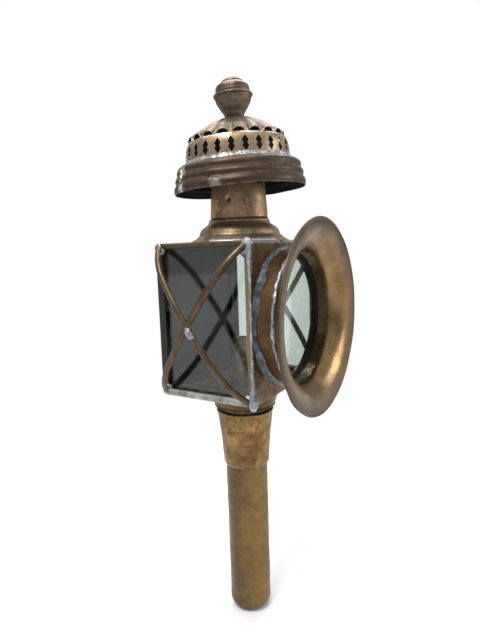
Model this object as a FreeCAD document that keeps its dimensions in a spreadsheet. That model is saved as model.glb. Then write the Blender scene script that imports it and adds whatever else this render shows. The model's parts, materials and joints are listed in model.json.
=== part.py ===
import FreeCAD, Part
import math
import os
import re

import Sketcher

# A brass candle carriage lamp, in millimetres. +Z is up and the bell faces -Y.
# The origin is on the lamp's axis, where the stem tube enters the cone.
# Left is -X and right is +X, the two glazed sides.

Vector = FreeCAD.Vector
Rotation = FreeCAD.Rotation
Placement = FreeCAD.Placement
X_AXIS = Vector(1, 0, 0)
Z_AXIS = Vector(0, 0, 1)

SIZES = {
    # sheet brass, glass and wire
    "sheet": 0.8,
    "plate": 1,
    "glass_thick": 1.8,
    "fit_gap": 0.4,
    # stem: tube, rounded end and cone
    "stem_radius": 16,
    "stem_length": 113,
    "stem_inlet": 3,
    "stem_inlet_radius": 15.6,
    "stem_end_height": 7.5,
    "cone_height": 43.6,
    "cone_lip_radius": 21.5,
    "cone_foot_radius": 17.5,
    "lip_bead_radius": 0.9,
    "cone_seam": 1,
    # candle tube, spring and nozzle inside the stem
    "candle_tube_radius": 7.6,
    "candle_tube_wall": 0.5,
    "candle_tube_top": 92,
    "upper_guide_height": 34,
    "lower_guide_depth": 106,
    "spring_seat_depth": 110,
    "spring_radius": 5.9,
    "spring_wire_radius": 0.5,
    "spring_turns": 18,
    "follower_radius": 6.7,
    "follower_height": 7,
    "nozzle_radius": 8.2,
    "nozzle_top": 99,
    "nozzle_skirt": 21,
    "nozzle_hole_radius": 5.2,
    "nozzle_bead_radius": 0.5,
    # glazed box
    "box_width": 100,
    "box_depth": 73,
    "box_height": 107,
    "box_bottom": 63.5,
    "return_depth": 2.6,
    "rail_radius": 1.85,
    "sill_radius": 2.4,
    "rail_gap": 0.1,
    "plate_gap": 0.3,
    "pane_inset": 2.5,
    "corner_bead_radius": 1.8,
    "pane_play": 0.2,
    "tab_size": 6,
    "tab_height": 2.5,
    "tab_spread": 20,
    # socket and dish under the box
    "socket_radius": 19.2,
    "socket_foot": 36.5,
    "dish_rim_radius": 23,
    "dish_rim_height": 48,
    "dish_top_radius": 34,
    # half-round guard bars, crossed and bowed over each window
    "guard_width": 4.6,
    "guard_bow": 18,
    "guard_reach": 34,
    "guard_rise": 50.3,
    "guard_crown_radius": 190,
    "guard_end_radius": 45,
    "guard_crown_turn": 10,
    "guard_end_turn": 50,
    "guard_centre_offset": 0.5,
    "blob_length": 4.2,
    "blob_height": 2.4,
    # bell, its collar and the front glass
    "opening_radius": 44,
    "collar_radius": 47.5,
    "collar_length": 13,
    "bell_throat_radius": 46.4,
    "bell_throat_start": 6.5,
    "bell_throat_end": 13,
    "bell_rim_radius": 67.7,
    "bell_rim_reach": 27.7,
    "bell_edge_radius": 0.9,
    "front_glass_radius": 46.2,
    "ring_inner_radius": 43.6,
    # back door, hinge, knob and spring catch
    "door_inset": 0.5,
    "door_gap": 0.4,
    "door_depth": 1.6,
    "back_opening_inset": 7,
    "hinge_offset": 2,
    "knuckle_radius": 2,
    "knuckle_length": 7.5,
    "knuckle_pitch": 8,
    "pin_radius": 1,
    "pin_clearance": 0.05,
    "leaf_width": 12,
    "frame_leaf_width": 3,
    "knob_radius": 5,
    "knob_length": 9,
    "knob_inset": 26,
    # shoulder and neck on the roof
    "shoulder_radius": 36,
    "neck_radius": 22.2,
    "neck_height": 185,
    "spigot_top": 199,
    # push-on chimney sleeve
    "sleeve_foot_radius": 21.05,
    "sleeve_top_radius": 19,
    "sleeve_foot": 187.3,
    "sleeve_top": 217,
    # cap: it stands a little crooked on its sleeve
    "cap_lean": 2.9,
    "cap_shift_x": 0.8,
    "cap_shift_y": -1.3,
    "cap_rim_height": 206.7,
    "cap_rim_radius": 47.1,
    "skirt_height": 18.8,
    "gallery_radius": 37.5,
    "gallery_top_radius": 34.65,
    "gallery_height": 15.3,
    "gallery_hole_count": 25,
    "gallery_hole_height": 10.4,
    "gallery_hole_width": 4.8,
    "gallery_hole_waist": 3,
    "canopy_height": 16.5,
    "flute_count": 20,
    "vent_width": 9.6,
    "vent_height": 3.3,
    "finial_foot_radius": 6.2,
    "finial_height": 27.2,
    "finial_radius": 13,
    "finial_bead_radius": 0.9,
    "leg_count": 3,
    "leg_width": 8,
    "leg_end_radius": 39,
    "leg_first_turn": 15,
    # sooty band inside the gallery that keeps the wind off the flame
    "wind_band_radius": 31,
    "wind_band_height": 12,
}

# Sizes that follow from the ones above.
DERIVED = {
    "box_top": "box_bottom + box_height",
    "window_height": "box_bottom + box_height / 2",
    "half_width": "box_width / 2",
    "half_depth": "box_depth / 2",
    "candle_tube_bore": "candle_tube_radius - candle_tube_wall",
    "gallery_top": "skirt_height + gallery_height",
    "canopy_top": "gallery_top + canopy_height",
    "finial_top": "canopy_top + finial_height",
    "guard_half_chord": "sqrt(guard_reach ^ 2 + guard_rise ^ 2)",
    "hinge_x": "half_width + hinge_offset",
    "hinge_y": "half_depth + door_gap + door_depth + sheet - knuckle_radius",
    "knuckle_front": "hinge_y - knuckle_radius",
    "door_back": "half_depth + door_gap + door_depth",
    "pane_x": "half_width - pane_inset - glass_thick / 2",
}

document = FreeCAD.newDocument("carriage_lamp")
sheet = document.addObject("Spreadsheet::Sheet", "sizes")
for row, (name, size) in enumerate(SIZES.items(), start=1):
    sheet.set(f"A{row}", name)
    sheet.set(f"B{row}", str(size))
    sheet.setAlias(f"B{row}", name)
document.recompute()

pieces = []


def bound(words):
    """Turns a size in words into an expression on the sheet."""

    def cell(match):
        word = match.group(0)
        if word in DERIVED:
            return f"({bound(DERIVED[word])})"
        return f"sizes.{word}" if word in SIZES else word

    return re.sub(r"[a-z_]+", cell, words)


def number(words):
    """The present value of a size in words."""
    return float(sheet.evalExpression(bound(words)))


def finish(thing, label):
    """Gives a sub-part its label and puts it on the list to export."""
    thing.Label = label
    pieces.append(thing)
    return thing


def bind(thing, **words):
    """Binds properties such as Radius and Height to sizes in words."""
    for name, text in words.items():
        thing.setExpression(name, bound(text))
    return thing


def place(thing, x="0", y="0", z="0", axis=Z_AXIS, angle="0"):
    """Places a thing by sizes in words, turned about axis by angle in degrees."""
    thing.Placement = Placement(Vector(), Rotation(axis, number(angle)))
    for name, text in (("x", x), ("y", y), ("z", z)):
        thing.setExpression(f"Placement.Base.{name}", bound(text))
    if number(angle):
        thing.setExpression("Placement.Rotation.Angle", bound(angle))
    return thing


def place_bell(thing):
    """Turns a thing made about Z so that its axis is the bell's, from the front face."""
    return place(thing, y="-half_depth", z="window_height", axis=X_AXIS, angle="90")


def place_cap(thing):
    """Sets a piece of the cap on the crooked cap's own axis."""
    return place(thing, x="cap_shift_x", y="cap_shift_y", z="cap_rim_height",
                 axis=Vector(-1, -1, 0), angle="cap_lean")


def pin(sketch, geometry, end, across, up):
    """Fixes one point of a sketch at sizes in words."""
    for kind, words, axis in (("DistanceX", across, -2), ("DistanceY", up, -1)):
        distance = number(words)
        if abs(distance) < 1e-9:
            sketch.addConstraint(Sketcher.Constraint("PointOnObject", geometry, end, axis))
            continue
        index = sketch.addConstraint(Sketcher.Constraint(kind, -1, 1, geometry, end, distance))
        sketch.setExpression(f"Constraints[{index}]", bound(words))


def outline(sketch, points, closed=True):
    """Draws straight lines through points, each pinned at its sizes."""
    first = sketch.GeometryCount
    spots = [Vector(number(across), number(up), 0) for across, up in points]
    follow = spots[1:] + (spots[:1] if closed else [])
    for start, end in zip(spots, follow):
        sketch.addGeometry(Part.LineSegment(start, end))
    count = len(follow)
    for index in range(count if closed else count - 1):
        following = first + (index + 1) % count
        sketch.addConstraint(Sketcher.Constraint("Coincident", first + index, 2, following, 1))
    for index, (across, up) in enumerate(points):
        last = index == count
        pin(sketch, first + index - last, 2 if last else 1, across, up)


def rectangle(sketch, centre_x, centre_y, width, height):
    """Draws a rectangle by its centre and its sides."""
    left = f"({centre_x}) - ({width}) / 2"
    right = f"({centre_x}) + ({width}) / 2"
    low = f"({centre_y}) - ({height}) / 2"
    high = f"({centre_y}) + ({height}) / 2"
    outline(sketch, [(left, low), (right, low), (right, high), (left, high)])


def circle(sketch, radius, across="0", up="0"):
    """Draws a circle of a bound radius."""
    centre = Vector(number(across), number(up), 0)
    index = sketch.addGeometry(Part.Circle(centre, Z_AXIS, number(radius)))
    pin(sketch, index, 3, across, up)
    size = sketch.addConstraint(Sketcher.Constraint("Radius", index, number(radius)))
    sketch.setExpression(f"Constraints[{size}]", bound(radius))


def body_sketch(body, role):
    """Adds a sketch on one of the body's own origin planes."""
    sketch = body.newObject("Sketcher::SketchObject", f"{body.Name}_sketch")
    plane = [item for item in body.Origin.OriginFeatures if item.Role == role][0]
    sketch.AttachmentSupport = [(plane, "")]
    sketch.MapMode = "FlatFace"
    return sketch


def new_body(label):
    """Starts a PartDesign body."""
    return document.addObject("PartDesign::Body", label)


def pad(body, sketch, length, reverse=False):
    """Pads a sketch by a bound length."""
    feature = body.newObject("PartDesign::Pad", f"{body.Name}_pad")
    feature.Profile = sketch
    feature.Reversed = reverse
    feature.Length = number(length)
    return bind(feature, Length=length)


def pocket_through(body, sketch, both_ways=True, length=None, reverse=False):
    """Cuts a sketch through the body and checks that material has gone."""
    document.recompute()
    before = body.Shape.Volume
    feature = body.newObject("PartDesign::Pocket", f"{body.Name}_pocket")
    feature.Profile = sketch
    feature.Reversed = reverse
    if length:
        feature.Length = number(length)
        bind(feature, Length=length)
    else:
        feature.Type = "ThroughAll"
        feature.Midplane = both_ways
    document.recompute()
    if not body.Shape.Volume < before - 0.01:
        raise ValueError(f"{body.Name}: the pocket cut nothing")
    return feature


def repeat_round(body, feature, count):
    """Repeats a cut evenly round the body's Z axis."""
    pattern = body.newObject("PartDesign::PolarPattern", f"{body.Name}_pattern")
    pattern.Originals = [feature]
    axis = [item for item in body.Origin.OriginFeatures if item.Role == "Z_Axis"][0]
    pattern.Axis = (axis, [""])
    pattern.Angle = 360
    pattern.Occurrences = round(number(count))
    bind(pattern, Occurrences=count)
    body.Tip = pattern
    document.recompute()
    return pattern


def spun(label, line, wall="sheet", beads=()):
    """A shell spun from sheet: the line is its outer face, traced upwards, and the
    wall goes inwards. Beads are rolled edges: (ring radius, height, wire radius)."""
    sketch = document.addObject("Sketcher::SketchObject", f"{label}_line")
    sketch.Placement = Placement(Vector(), Rotation(X_AXIS, 90))
    outline(sketch, line, closed=False)
    strip = document.addObject("Part::Offset2D", f"{label}_strip")
    strip.Source = sketch
    strip.Mode = "Skin"
    strip.Join = "Intersection"
    strip.Fill = True
    strip.Value = number(wall)
    bind(strip, Value=wall)
    shell = document.addObject("Part::Revolution", f"{label}_shell")
    shell.Source = strip
    shell.Axis = Z_AXIS
    shell.Angle = 360
    if not beads:
        return finish(shell, label)
    parts = [shell]
    for radius, height, wire in beads:
        bead = document.addObject("Part::Torus", f"{label}_bead")
        bind(bead, Radius1=radius, Radius2=wire)
        parts.append(place(bead, z=height))
    fused = document.addObject("Part::MultiFuse", f"{label}_fused")
    fused.Shapes = parts
    return finish(fused, label)


def turned(label, profile):
    """A solid turned about Z from a closed profile."""
    body = new_body(label)
    sketch = body_sketch(body, "XZ_Plane")
    outline(sketch, profile)
    feature = body.newObject("PartDesign::Revolution", f"{label}_turned")
    feature.Profile = sketch
    feature.ReferenceAxis = (sketch, ["V_Axis"])
    feature.Angle = 360
    return finish(body, label)


def tube(label, foot, top, wall="sheet"):
    """A straight or tapered tube between two outer circles, (radius, height) each."""
    return turned(label, [foot, top, (f"{top[0]} - {wall}", top[1]), (f"{foot[0]} - {wall}", foot[1])])


def box(label, x, y, z):
    """A block between bounds: x, y and z are (low, high) in words."""
    block = document.addObject("Part::Box", label)
    for name, (low, high) in (("Length", x), ("Width", y), ("Height", z)):
        block.setExpression(name, bound(f"({high}) - ({low})"))
    return place(block, x=x[0], y=y[0], z=z[0])


def cylinder(label, radius, height):
    """A plain cylinder from the origin upwards."""
    return bind(document.addObject("Part::Cylinder", label), Radius=radius, Height=height)


def fuse(label, parts):
    fused = document.addObject("Part::MultiFuse", label)
    fused.Shapes = parts
    return fused


def cut(label, base, tool):
    result = document.addObject("Part::Cut", label)
    result.Base = base
    result.Tool = tool
    return result


def group(label, parts):
    """Alike pieces that share one node as separate solids."""
    compound = document.addObject("Part::Compound", label)
    compound.Links = parts
    return finish(compound, label)


SIDES = (("left", -1), ("right", 1))


# ---------------------------------------------------------------- stem

def make_stem():
    turned("stem_tube", [
        ("stem_radius", "-stem_length"),
        ("stem_radius", "0"),
        ("stem_inlet_radius", "0"),
        ("stem_inlet_radius", "stem_inlet"),
        ("stem_radius - sheet", "stem_inlet"),
        ("stem_radius - sheet", "-stem_length"),
    ])
    drop = "-stem_length - stem_end_height"
    spun("stem_end", [
        ("0", drop),
        ("stem_radius * 0.45", drop),
        ("stem_radius * 0.76", f"{drop} + stem_end_height * 0.1"),
        ("stem_radius * 0.92", f"{drop} + stem_end_height * 0.32"),
        ("stem_radius * 0.985", f"{drop} + stem_end_height * 0.62"),
        ("stem_radius", "-stem_length"),
    ])
    spun("stem_cone", [
        ("stem_radius + sheet", "cone_seam"),
        ("cone_foot_radius", "4.5"),
        ("cone_foot_radius + 1", "17.5"),
        ("cone_lip_radius - 1.6", "cone_height - 13.6"),
        ("cone_lip_radius", "cone_height"),
    ], beads=[("cone_lip_radius - sheet / 2", "cone_height", "lip_bead_radius")])
    turned("cone_solder", [
        ("stem_inlet_radius", "0"),
        ("stem_radius", "0"),
        ("stem_radius + sheet", "cone_seam"),
        ("stem_inlet_radius", "cone_seam"),
    ])


def make_candle_tube():
    tube("candle_tube", ("candle_tube_radius", "-spring_seat_depth - plate"),
         ("candle_tube_radius", "candle_tube_top"), wall="candle_tube_wall")
    turned("upper_tube_guide", [
        ("candle_tube_radius", "upper_guide_height"),
        ("stem_radius + 3.2", "upper_guide_height"),
        ("stem_radius + 3.2", "upper_guide_height + sheet"),
        ("candle_tube_radius", "upper_guide_height + sheet"),
    ])
    turned("lower_tube_guide", [
        ("candle_tube_radius", "-lower_guide_depth"),
        ("stem_radius - sheet", "-lower_guide_depth"),
        ("stem_radius - sheet", "-lower_guide_depth + sheet"),
        ("candle_tube_radius", "-lower_guide_depth + sheet"),
    ])
    turned("spring_seat", [
        ("0", "-spring_seat_depth"),
        ("candle_tube_bore", "-spring_seat_depth"),
        ("candle_tube_bore", "-spring_seat_depth + plate"),
        ("0", "-spring_seat_depth + plate"),
    ])


def make_follower():
    top = "candle_tube_top - 0.5"
    foot = f"{top} - follower_height"
    spun("candle_follower", [
        ("follower_radius", foot),
        ("follower_radius", f"{top} - 1"),
        ("follower_radius - 1", top),
        ("0", top),
    ])


def make_spring():
    start = "-spring_seat_depth + plate + spring_wire_radius"
    end = "candle_tube_top - 1.4 - follower_height - spring_wire_radius"
    coil = document.addObject("Part::Helix", "candle_spring_path")
    bind(coil, Radius="spring_radius", Height=f"{end} - ({start})",
         Pitch=f"({end} - ({start})) / spring_turns")
    place(coil, z=start)
    wire = document.addObject("Part::Circle", "candle_spring_wire")
    bind(wire, Radius="spring_wire_radius")
    place(wire, x="spring_radius", z=start, axis=X_AXIS, angle="90")
    spring = document.addObject("Part::Sweep", "candle_spring")
    spring.Sections = [wire]
    spring.Spine = (coil, [])
    spring.Solid = True
    spring.Frenet = True
    finish(spring, "candle_spring")


def make_nozzle():
    spun("candle_nozzle", [
        ("nozzle_radius", "nozzle_top - nozzle_skirt"),
        ("nozzle_radius", "nozzle_top - 1"),
        ("nozzle_radius - 1", "nozzle_top"),
        ("nozzle_hole_radius", "nozzle_top"),
    ], wall="candle_tube_wall", beads=[
        ("nozzle_radius - 0.1", "candle_tube_top + 2.4", "nozzle_bead_radius"),
        ("nozzle_radius - 0.1", "nozzle_top - nozzle_skirt + 3", "nozzle_bead_radius"),
    ])


# ---------------------------------------------------------------- glazed box

def make_base():
    tube("base_socket", ("socket_radius", "socket_foot"), ("socket_radius", "box_bottom + plate"))
    spun("base_dish", [
        ("dish_rim_radius", "dish_rim_height"),
        ("dish_rim_radius + 0.8", "dish_rim_height + 2.5"),
        ("dish_rim_radius + 2.8", "dish_rim_height + 7"),
        ("dish_rim_radius + 7", "box_bottom - 3"),
        ("dish_top_radius", "box_bottom"),
    ], beads=[("dish_rim_radius - sheet / 2", "dish_rim_height", "sheet")])


def make_level_plate(label, height, hole):
    """The floor or the roof: a flat plate with a round hole."""
    body = new_body(label)
    sketch = body_sketch(body, "XY_Plane")
    rectangle(sketch, "0", "0", "box_width - 2 * (pane_inset + plate_gap)", "box_depth - 2 * plate")
    circle(sketch, hole)
    pad(body, sketch, "plate")
    place(body, z=height)
    return finish(body, label)


def make_upright_plate(label, round_hole):
    """The front panel or the back frame: an upright plate with its two side edges
    folded inwards, made flat with the folds behind it."""
    body = new_body(label)
    sketch = body_sketch(body, "XY_Plane")
    rectangle(sketch, "0", "0", "box_width", "box_height")
    if round_hole:
        circle(sketch, "opening_radius")
    else:
        rectangle(sketch, "0", "0", "box_width - 2 * back_opening_inset",
                  "box_height - 2 * back_opening_inset")
    pad(body, sketch, "plate")
    folds = body_sketch(body, "XY_Plane")
    for _, side in SIDES:
        rectangle(folds, f"{side} * (half_width - plate / 2)", "0", "plate", "box_height")
    pad(body, folds, "return_depth", reverse=True)
    if round_hole:
        place(body, y="plate - half_depth", z="window_height", axis=X_AXIS, angle="90")
    else:
        place(body, y="half_depth - plate", z="window_height", axis=X_AXIS, angle="-90")
    return finish(body, label)


def make_side(name, side):
    """Rails, pane, pane tabs and the soldered front corner of one glazed side."""
    run = "box_depth - 2 * plate - 2 * return_depth"
    for rail, radius, height in (("top", "rail_radius", "box_top - rail_radius"),
                                 ("bottom", "sill_radius", "box_bottom + sill_radius")):
        label = f"{rail}_rail_{name}"
        rod = cylinder(label, radius, run)
        place(rod, x=f"{side} * (half_width - pane_inset + rail_gap + {radius})", y=f"({run}) / 2",
              z=height, axis=X_AXIS, angle="90")
        finish(rod, label)
    faces = sorted([f"{side} * (pane_x - glass_thick / 2)", f"{side} * (pane_x + glass_thick / 2)"],
                   key=number)
    pane = box(f"glass_{name}", faces, ("plate + pane_play - half_depth", "half_depth - plate - pane_play"),
               ("box_bottom + plate + pane_play", "box_top - plate - pane_play"))
    finish(pane, f"glass_{name}")
    inner = [f"{side} * (pane_x - glass_thick / 2)", f"{side} * (pane_x - glass_thick / 2 - sheet)"]
    inner.sort(key=number)
    tabs = []
    for spread in (-1, 1):
        along = (f"{spread} * tab_spread - tab_size / 2", f"{spread} * tab_spread + tab_size / 2")
        for low in ("box_bottom + plate", "box_top - plate - tab_height"):
            tabs.append(box(f"glass_tab_{name}", inner, along, (low, f"{low} + tab_height")))
    group(f"glass_tabs_{name}", tabs)
    bead = cylinder(f"corner_bead_{name}", "corner_bead_radius", "box_height")
    place(bead, x=f"{side} * half_width", y="-half_depth", z="box_bottom")
    inside = box(f"corner_inside_{name}", ("-half_width", "half_width"),
                 ("-half_depth", "half_depth"), ("box_bottom - 1", "box_top + 1"))
    finish(cut(f"corner_solder_{name}", bead, inside), f"corner_solder_{name}")


def make_shoulder():
    top = "neck_height"
    spun("chimney_shoulder", [
        ("shoulder_radius", "box_top"),
        ("shoulder_radius", "box_top + 1.2"),
        ("shoulder_radius - 3.4", "box_top + 2.6"),
        ("shoulder_radius - 5.5", "box_top + 5.5"),
        ("shoulder_radius - 8.1", "box_top + 8.8"),
        ("neck_radius + 2.2", f"{top} - 3"),
        ("neck_radius - 0.4", f"{top} - 1.5"),
        ("neck_radius", f"{top} - 0.4"),
        ("neck_radius", f"{top} + 0.4"),
        ("sleeve_foot_radius - 1.4", "sleeve_foot + 0.2"),
        ("sleeve_foot_radius - 2.5", "spigot_top"),
    ])


# ---------------------------------------------------------------- guard bars

def guard_path(body):
    """The bar's line from its crown to one end: a flat arc, then a tighter one."""
    path = body_sketch(body, "XZ_Plane")
    bow = number("guard_bow")
    chord = number("guard_half_chord")
    crown = number("guard_crown_radius")
    tight = number("guard_end_radius")
    turn = math.radians(number("guard_crown_turn"))
    steep = math.radians(number("guard_end_turn"))
    first = Part.Circle(Vector(0, bow - crown, 0), Z_AXIS, crown)
    path.addGeometry(Part.ArcOfCircle(first, math.pi / 2 - turn, math.pi / 2))
    centre = Vector((crown - tight) * math.sin(turn), bow - crown + (crown - tight) * math.cos(turn), 0)
    second = Part.Circle(centre, Z_AXIS, tight)
    path.addGeometry(Part.ArcOfCircle(second, math.pi / 2 - steep, math.pi / 2 - turn))
    path.addConstraint(Sketcher.Constraint("Tangent", 0, 1, 1, 2))
    path.addConstraint(Sketcher.Constraint("PointOnObject", 0, 3, -2))
    pin(path, 0, 2, "0", "guard_bow")
    pin(path, 1, 1, "guard_half_chord", "0")
    for geometry, radius in ((0, "guard_crown_radius"), (1, "guard_end_radius")):
        index = path.addConstraint(Sketcher.Constraint("Radius", geometry, number(radius)))
        path.setExpression(f"Constraints[{index}]", bound(radius))
    document.recompute()
    if abs(path.Geometry[1].StartPoint.x - chord) > 1e-6:
        raise ValueError("the guard bar's path misses its end")
    return path


def guard_section(body):
    """A half-round section, flat side inwards, at the bar's crown."""
    section = body_sketch(body, "YZ_Plane")
    half = number("guard_width / 2")
    bow = number("guard_bow")
    round_side = Part.Circle(Vector(0, bow, 0), Z_AXIS, half)
    section.addGeometry(Part.ArcOfCircle(round_side, 0, math.pi))
    section.addGeometry(Part.LineSegment(Vector(-half, bow, 0), Vector(half, bow, 0)))
    section.addConstraint(Sketcher.Constraint("Coincident", 0, 2, 1, 1))
    section.addConstraint(Sketcher.Constraint("Coincident", 0, 1, 1, 2))
    pin(section, 0, 3, "0", "guard_bow")
    pin(section, 1, 2, "guard_width / 2", "guard_bow")
    section.addConstraint(Sketcher.Constraint("Horizontal", 1))
    return section


def guard_bar(label, whole):
    """One guard bar over its crown, or the half on the +X side of the crossing."""
    body = new_body(label)
    path = guard_path(body)
    section = guard_section(body)
    pipe = body.newObject("PartDesign::AdditivePipe", f"{label}_pipe")
    pipe.Profile = section
    pipe.Spine = (path, ["Edge1", "Edge2"])
    document.recompute()
    if whole:
        plane = [item for item in body.Origin.OriginFeatures if item.Role == "YZ_Plane"][0]
        mirror = body.newObject("PartDesign::Mirrored", f"{label}_mirror")
        mirror.Originals = [pipe]
        mirror.MirrorPlane = (plane, [""])
        body.Tip = mirror
        document.recompute()
    else:
        sketch = body_sketch(body, "XY_Plane")
        rectangle(sketch, "0", "0", "guard_width + 0.1", "guard_width * 2")
        pocket_through(body, sketch)
    return finish(body, label)


def make_guards(name, side):
    """Three bars and their solder on one side. The long bar runs from the upper front
    corner to the lower back one, and the other is in two halves that meet it."""
    reach = number("guard_reach / guard_half_chord")
    rise = number("guard_rise / guard_half_chord")
    outward = Vector(side, 0, 0)
    for part, along, whole in (("long", Vector(0, -reach, rise), True),
                               ("upper", Vector(0, reach, rise), False),
                               ("lower", Vector(0, -reach, -rise), False)):
        bar = guard_bar(f"guard_{name}_{part}", whole)
        across = outward.cross(along)
        bar.Placement = Placement(Vector(), Rotation(along, across, outward, "ZXY"))
        bar.setExpression("Placement.Base.x", bound(f"{side} * half_width"))
        bar.setExpression("Placement.Base.y", bound("guard_centre_offset"))
        bar.setExpression("Placement.Base.z", bound("window_height"))
    spots = [("half_width + guard_bow + 0.6", "guard_centre_offset", "window_height")]
    for front in (-1, 1):
        for up in (-1, 1):
            spots.append(("half_width", f"guard_centre_offset + {front} * guard_reach",
                          f"window_height + {up} * guard_rise"))
    blobs = []
    for index, (x, y, z) in enumerate(spots):
        blob = document.addObject("Part::Ellipsoid", f"guard_blob_{name}")
        if index:
            blob.Angle1 = 0
        bind(blob, Radius1="blob_height", Radius2="blob_length * 0.8", Radius3="blob_length")
        blobs.append(place(blob, x=f"{side} * ({x})", y=y, z=z, axis=Vector(0, side, 0), angle="90"))
    group(f"guard_solder_{name}", blobs)


# ---------------------------------------------------------------- bell

def make_bell():
    """All made about Z, with Z = 0 on the front panel's outer face, then turned to -Y."""
    collar = tube("bell_collar", ("collar_radius", "0"), ("collar_radius", "collar_length"),
                  wall="plate")
    flare = "(bell_rim_radius - bell_throat_radius)"
    depth = "(bell_rim_reach - bell_throat_end)"
    steps = 9
    line = [("bell_throat_radius", "bell_throat_start")]
    for step in range(steps + 1):
        angle = 90 * step / steps
        line.append((f"bell_throat_radius + {flare} * {1 - math.cos(math.radians(angle)):.5f}",
                     f"bell_throat_end + {depth} * {math.sin(math.radians(angle)):.5f}"))
    bell = spun("bell", line, wall="plate", beads=[
        ("bell_rim_radius - bell_edge_radius", "bell_rim_reach - 0.3", "bell_edge_radius")])
    glass = finish(cylinder("front_glass", "front_glass_radius", "glass_thick"), "front_glass")
    ring = turned("front_glass_ring", [
        ("ring_inner_radius", "glass_thick + 0.1"),
        ("front_glass_radius", "glass_thick + 0.1"),
        ("front_glass_radius", "bell_throat_start - 0.2"),
        ("front_glass_radius - plate", "bell_throat_start - 0.2"),
        ("front_glass_radius - plate", "glass_thick + 1.2"),
        ("ring_inner_radius", "glass_thick + 1.2"),
    ])
    collar_solder = turned("collar_solder", [
        ("collar_radius", "0"),
        ("half_width - 0.4", "0"),
        ("collar_radius + 0.9", "1.6"),
        ("collar_radius", "4"),
    ])
    bell_solder = turned("bell_solder", [
        ("bell_throat_radius", "collar_length"),
        ("collar_radius", "collar_length"),
        ("collar_radius - 0.2", "collar_length + 0.9"),
        ("bell_throat_radius", "collar_length + 1.4"),
    ])
    for piece in (collar, bell, glass, ring, collar_solder, bell_solder):
        place_bell(piece)


# ---------------------------------------------------------------- back door

def make_door():
    """A shallow tray over the back frame: a flat panel with its four edges folded in."""
    body = new_body("door_panel")
    width = "box_width - 2 * door_inset"
    height = "box_height - 2 * door_inset"
    sketch = body_sketch(body, "XY_Plane")
    rectangle(sketch, "0", "0", width, height)
    pad(body, sketch, "door_depth")
    hollow = body_sketch(body, "XY_Plane")
    rectangle(hollow, "0", "0", f"{width} - 2 * sheet", f"{height} - 2 * sheet")
    pocket_through(body, hollow, length="door_depth - sheet", reverse=True)
    place(body, y="half_depth + door_gap", z="window_height", axis=X_AXIS, angle="-90")
    finish(body, "door_panel")

    knob = turned("door_knob", [
        ("0", "0"),
        ("knob_radius * 0.8", "0"),
        ("knob_radius * 0.8", "plate"),
        ("knob_radius * 0.4", "plate * 2"),
        ("knob_radius * 0.4", "knob_length * 0.4"),
        ("knob_radius * 0.8", "knob_length * 0.5"),
        ("knob_radius", "knob_length * 0.68"),
        ("knob_radius * 0.9", "knob_length * 0.86"),
        ("knob_radius * 0.5", "knob_length"),
        ("0", "knob_length"),
    ])
    place(knob, x="knob_inset - half_width", y="door_back", z="window_height",
          axis=X_AXIS, angle="-90")

    edge = "back_opening_inset - half_width"
    rise = ("window_height - tab_size", "window_height + tab_size")
    foot = box("catch_foot", (f"{edge} + fit_gap", f"{edge} + tab_size"),
               ("door_back - 2 * sheet", "door_back - sheet"), rise)
    tongue = box("catch_tongue", (f"{edge} + fit_gap", f"{edge} + fit_gap + sheet"),
                 ("half_depth - 4 * plate", "door_back - sheet"), rise)
    finish(fuse("door_catch", [foot, tongue]), "door_catch")


def make_hinge():
    """Five knuckles on one pin. The box's leaf has three and is narrow, clear of the glass."""
    parts = {"body": [], "door": []}
    length = "4 * knuckle_pitch + knuckle_length"
    tall = (f"window_height - ({length}) / 2", f"window_height + ({length}) / 2")
    parts["body"].append(box("leaf_body", ("half_width", "half_width + sheet"),
                             ("half_depth - frame_leaf_width", "knuckle_front - fit_gap / 2"),
                             tall))
    parts["door"].append(box("leaf_door", ("half_width - leaf_width", "half_width - 0.4"),
                             ("door_back", "door_back + sheet"), tall))
    for step in range(-2, 3):
        owner = "door" if step % 2 else "body"
        middle = f"window_height + {step} * knuckle_pitch"
        span = (f"{middle} - knuckle_length / 2", f"{middle} + knuckle_length / 2")
        knuckle = cylinder(f"knuckle_{owner}", "knuckle_radius", "knuckle_length")
        parts[owner].append(place(knuckle, x="hinge_x", y="hinge_y", z=span[0]))
        if owner == "body":
            tongue = box("tongue_body", ("half_width", "half_width + sheet"),
                         ("knuckle_front - 1", "hinge_y"), span)
        else:
            tongue = box("tongue_door", ("half_width - 1", "hinge_x"),
                         ("door_back", "door_back + sheet"), span)
        parts[owner].append(tongue)
    for owner, clearance in (("body", "0"), ("door", "pin_clearance")):
        bore = cylinder(f"bore_{owner}", f"pin_radius + {clearance}", f"{length} + 2")
        place(bore, x="hinge_x", y="hinge_y", z=f"{tall[0]} - 1")
        leaf = fuse(f"hinge_{owner}_solid", parts[owner])
        finish(cut(f"hinge_leaf_{owner}", leaf, bore), f"hinge_leaf_{owner}")
    rod = cylinder("pin_rod", "pin_radius", length)
    place(rod, x="hinge_x", y="hinge_y", z=tall[0])
    heads = []
    for low in (f"{tall[0]} - sheet", tall[1]):
        head = cylinder("pin_head", "pin_radius * 1.6", "sheet")
        heads.append(place(head, x="hinge_x", y="hinge_y", z=low))
    finish(fuse("hinge_pin", [rod] + heads), "hinge_pin")


# ---------------------------------------------------------------- chimney top

def make_sleeve():
    tube("chimney_sleeve", ("sleeve_foot_radius", "sleeve_foot"),
         ("sleeve_top_radius", "sleeve_top"))


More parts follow.
